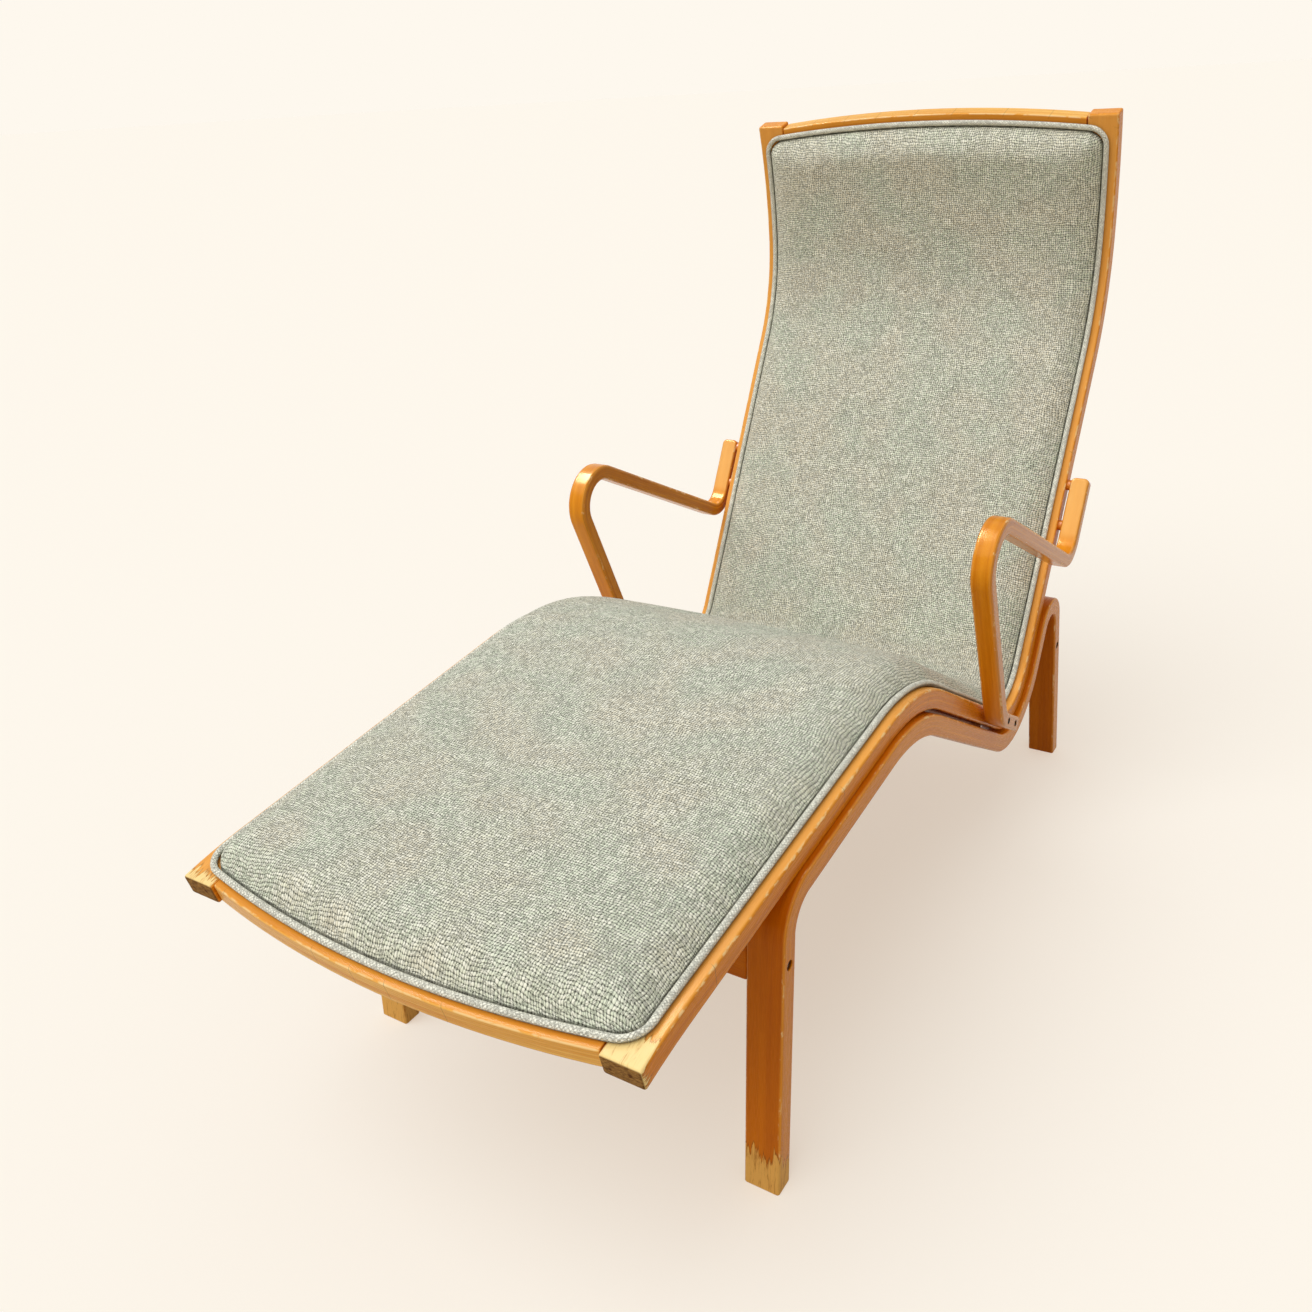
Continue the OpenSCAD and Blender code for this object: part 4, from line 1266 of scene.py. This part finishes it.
class CHAIR_OT_underside(ChairBuild, bpy.types.Operator):
    """Stretches the lining under the pad and the webbing between the rails"""

    bl_idname = "chair.underside"
    bl_label = "Lining and Webbing"

    def execute(self, context):
        self.lining()
        self.webbing()
        return {"FINISHED"}

    def lining(self):
        first, last = PAD_FOOT + FOOT_BOW + LINING_END, PAD_HEAD - HEAD_BOW - LINING_END
        width = 2 * (PAD_HALF - 2 * PIPING_R - FIT)
        bm = board(width, LINING_T, first, last, LINING_R)
        bmesh.ops.translate(bm, vec=(0, 0, FIT + LINING_T), verts=bm.verts[:])
        bend(bm, rail_track, 0.0)
        lining = finished(
            "underside_lining", bm, lambda p: rail_track.locate(p, FIT), 42,
            lining_finish("lining_cloth"), ["pad_lining"], "lining_cloth", even=False,
        )

    def webbing(self):
        reach = RAIL_IN + CLIP_L - CLIP_GAP
        whole = bmesh.new()
        laid = {}
        for i in range(STRAP_N):
            bm = board(STRAP_W, STRAP_T, -reach, reach, STRAP_R)
            slice_across(bm, 1, [reach * k / 6 for k in range(-5, 6)])
            seat = rail_track.crossing(STRAP_MARGIN + i * STRAP_PITCH, -STRAP_DROP + STRAP_T / 2)
            for vert in bm.verts:
                flat = vert.co.copy()
                vert.co = seat @ vert.co
                laid[tuple(round(c, 6) for c in vert.co)] = flat + Vector((0, i * 0.7, 0))
            join(whole, bm)
        finished(
            "webbing", whole, lambda p: laid[tuple(round(c, 6) for c in p)], 43,
            webbing_finish("jute_webbing"), ["webbing_straps"], "webbing",
        )


class CHAIR_OT_fittings(ChairBuild, bpy.types.Operator):
    """Gives the frame's dowels, screws, bolts, clips and spacers their finishes"""

    bl_idname = "chair.fittings"
    bl_label = "Fittings"

    def execute(self, context):
        wood = context.scene.chair_wood
        dowel = plain_wood_finish(
            "dowel_wood", wood.bare_dark, wood.bare, (14, 700, 700), 0.6, 0.15, 0.6
        )
        spacer = plain_wood_finish(
            "spacer_lacquer", wood.side_dark, wood.dark, (90, 400, 90), 0.4, 0.1, 0.5
        )
        finishes = (
            (steel_finish("zinc_steel"), (
                "webbing_clips", "stretcher_bolts", "stretcher_barrel_nuts",
                "rail_screws", "arm_foot_screws", "arm_back_screws",
            )),
            (dowel, ("cross_rail_dowels", "stretcher_dowels")),
            (spacer, ("arm_spacers",)),
        )
        for material, nodes in finishes:
            for node in nodes:
                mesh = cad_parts[node].data
                mesh.materials.clear()
                mesh.materials.append(material)
        return {"FINISHED"}


class CHAIR_OT_stage(ChairBuild, bpy.types.Operator):
    """Sets the floor, the background, the light and the camera"""

    bl_idname = "chair.stage"
    bl_label = "Stage"

    def execute(self, context):
        look = context.scene.chair_stage
        self.floor(look)
        self.world(look)
        self.lamps(look)
        self.camera()
        context.scene.view_settings.view_transform = "Standard"
        return {"FINISHED"}

    def add(self, name, data):
        made = bpy.data.objects.new(name, data)
        bpy.context.scene.collection.objects.link(made)
        return made

    def floor(self, look):
        bm = bmesh.new()
        bmesh.ops.create_grid(bm, x_segments=1, y_segments=1, size=300.0)
        mesh = bpy.data.meshes.new("floor")
        bm.to_mesh(mesh)
        bm.free()
        f = Finish("floor")
        seen = f.seen()
        bounce = tuple(c * k for c, k in zip(look.background, BOUNCE))
        shaded = tuple(c * k for c, k in zip(look.background, look.shadow))
        own = tuple(c * (1 - k) for c, k in zip(look.background, look.shadow))
        f.set(
            Base_Color=f.mix(seen, bounce, shaded), Roughness=1.0, Specular_IOR_Level=0.0,
            Emission_Color=f.mix(seen, (0.0, 0.0, 0.0), own), Emission_Strength=1.0,
        )
        mesh.materials.append(f.material)
        self.add("floor", mesh)

    def world(self, look):
        world = bpy.data.worlds.new("studio")
        bpy.context.scene.world = world
        f = Nodes(world)
        f.nodes.clear()
        even = f.node("ShaderNodeBackground", {}, [(1.0, 0.99, 0.97), look.sky])
        shown = f.node("ShaderNodeBackground", {}, [look.background, 1.0])
        blend = f.node("ShaderNodeMixShader", {}, [f.seen(), even, shown])
        f.feed(f.nodes.new("ShaderNodeOutputWorld").inputs["Surface"], blend)

    def lamps(self, look):
        """A broad key light from above, and a panel that only the lacquer mirrors."""
        lean, turn = math.radians(32), math.radians(-25)
        sun = bpy.data.lights.new("key", "SUN")
        sun.energy = look.key * math.pi / math.cos(lean)
        sun.angle = math.radians(60)
        sun.color = (1.0, 0.99, 0.97)
        self.add("key", sun).rotation_euler = (lean, 0.0, turn)
        panel = bpy.data.lights.new("gloss", "AREA")
        panel.shape = "RECTANGLE"
        panel.size, panel.size_y = 1.2, 1.2
        panel.energy = look.gloss * PANEL_WATTS
        gloss = self.add("gloss", panel)
        place = Vector((-1.1, 0.1, 2.6))
        aim = (Vector((0.0, 0.1, 0.5)) - place).to_track_quat("-Z", "Y").to_matrix().to_4x4()
        gloss.matrix_world = Matrix.Translation(place) @ aim
        gloss.visible_diffuse = False
        gloss.visible_camera = False

    def camera(self):
        place, azimuth, elevation, roll = (0.7211, -1.2807, 1.1012), 0.5851, 0.4435, -0.0585
        lens = bpy.data.cameras.new("camera")
        lens.sensor_width = 36.0
        lens.lens = 32.56
        lens.clip_end = 1000.0
        camera = self.add("camera", lens)
        turn = (
            Matrix.Rotation(azimuth, 4, "Z")
            @ Matrix.Rotation(math.pi / 2 - elevation, 4, "X")
            @ Matrix.Rotation(roll, 4, "Z")
        )
        camera.matrix_world = Matrix.Translation(place) @ turn
        bpy.context.scene.camera = camera


PIECES = (
    CHAIR_OT_stage, CHAIR_OT_side_rails, CHAIR_OT_cross_rails, CHAIR_OT_base_strips,
    CHAIR_OT_arms, CHAIR_OT_stretchers, CHAIR_OT_pad, CHAIR_OT_piping, CHAIR_OT_underside,
    CHAIR_OT_fittings,
)

SETTINGS = (
    ("chair_wood", ChairWood), ("chair_cloth", ChairCloth),
    ("chair_fittings", ChairFittings), ("chair_stage", ChairStage),
)


class CHAIR_PT_panel(bpy.types.Panel):
    """Lists the chair's pieces and their settings"""

    bl_label = "Lounge Chair"
    bl_idname = "CHAIR_PT_panel"
    bl_space_type = "VIEW_3D"
    bl_region_type = "UI"
    bl_category = "Lounge Chair"

    def draw(self, context):
        for operator in PIECES:
            self.layout.operator(operator.bl_idname)
        for name, _ in SETTINGS:
            group = getattr(context.scene, name)
            box = self.layout.box()
            for setting in group.__annotations__:
                box.prop(group, setting)


def register():
    for name, group in SETTINGS:
        bpy.utils.register_class(group)
        setattr(bpy.types.Scene, name, PointerProperty(type=group))
    for part in (*PIECES, CHAIR_PT_panel):
        bpy.utils.register_class(part)


def unregister():
    for part in (CHAIR_PT_panel, *reversed(PIECES)):
        bpy.utils.unregister_class(part)
    for name, group in reversed(SETTINGS):
        delattr(bpy.types.Scene, name)
        bpy.utils.unregister_class(group)


def main():
    register()
    for operator in PIECES:
        group, name = operator.bl_idname.split(".")
        getattr(getattr(bpy.ops, group), name)()


if __name__ == "__main__":
    main()
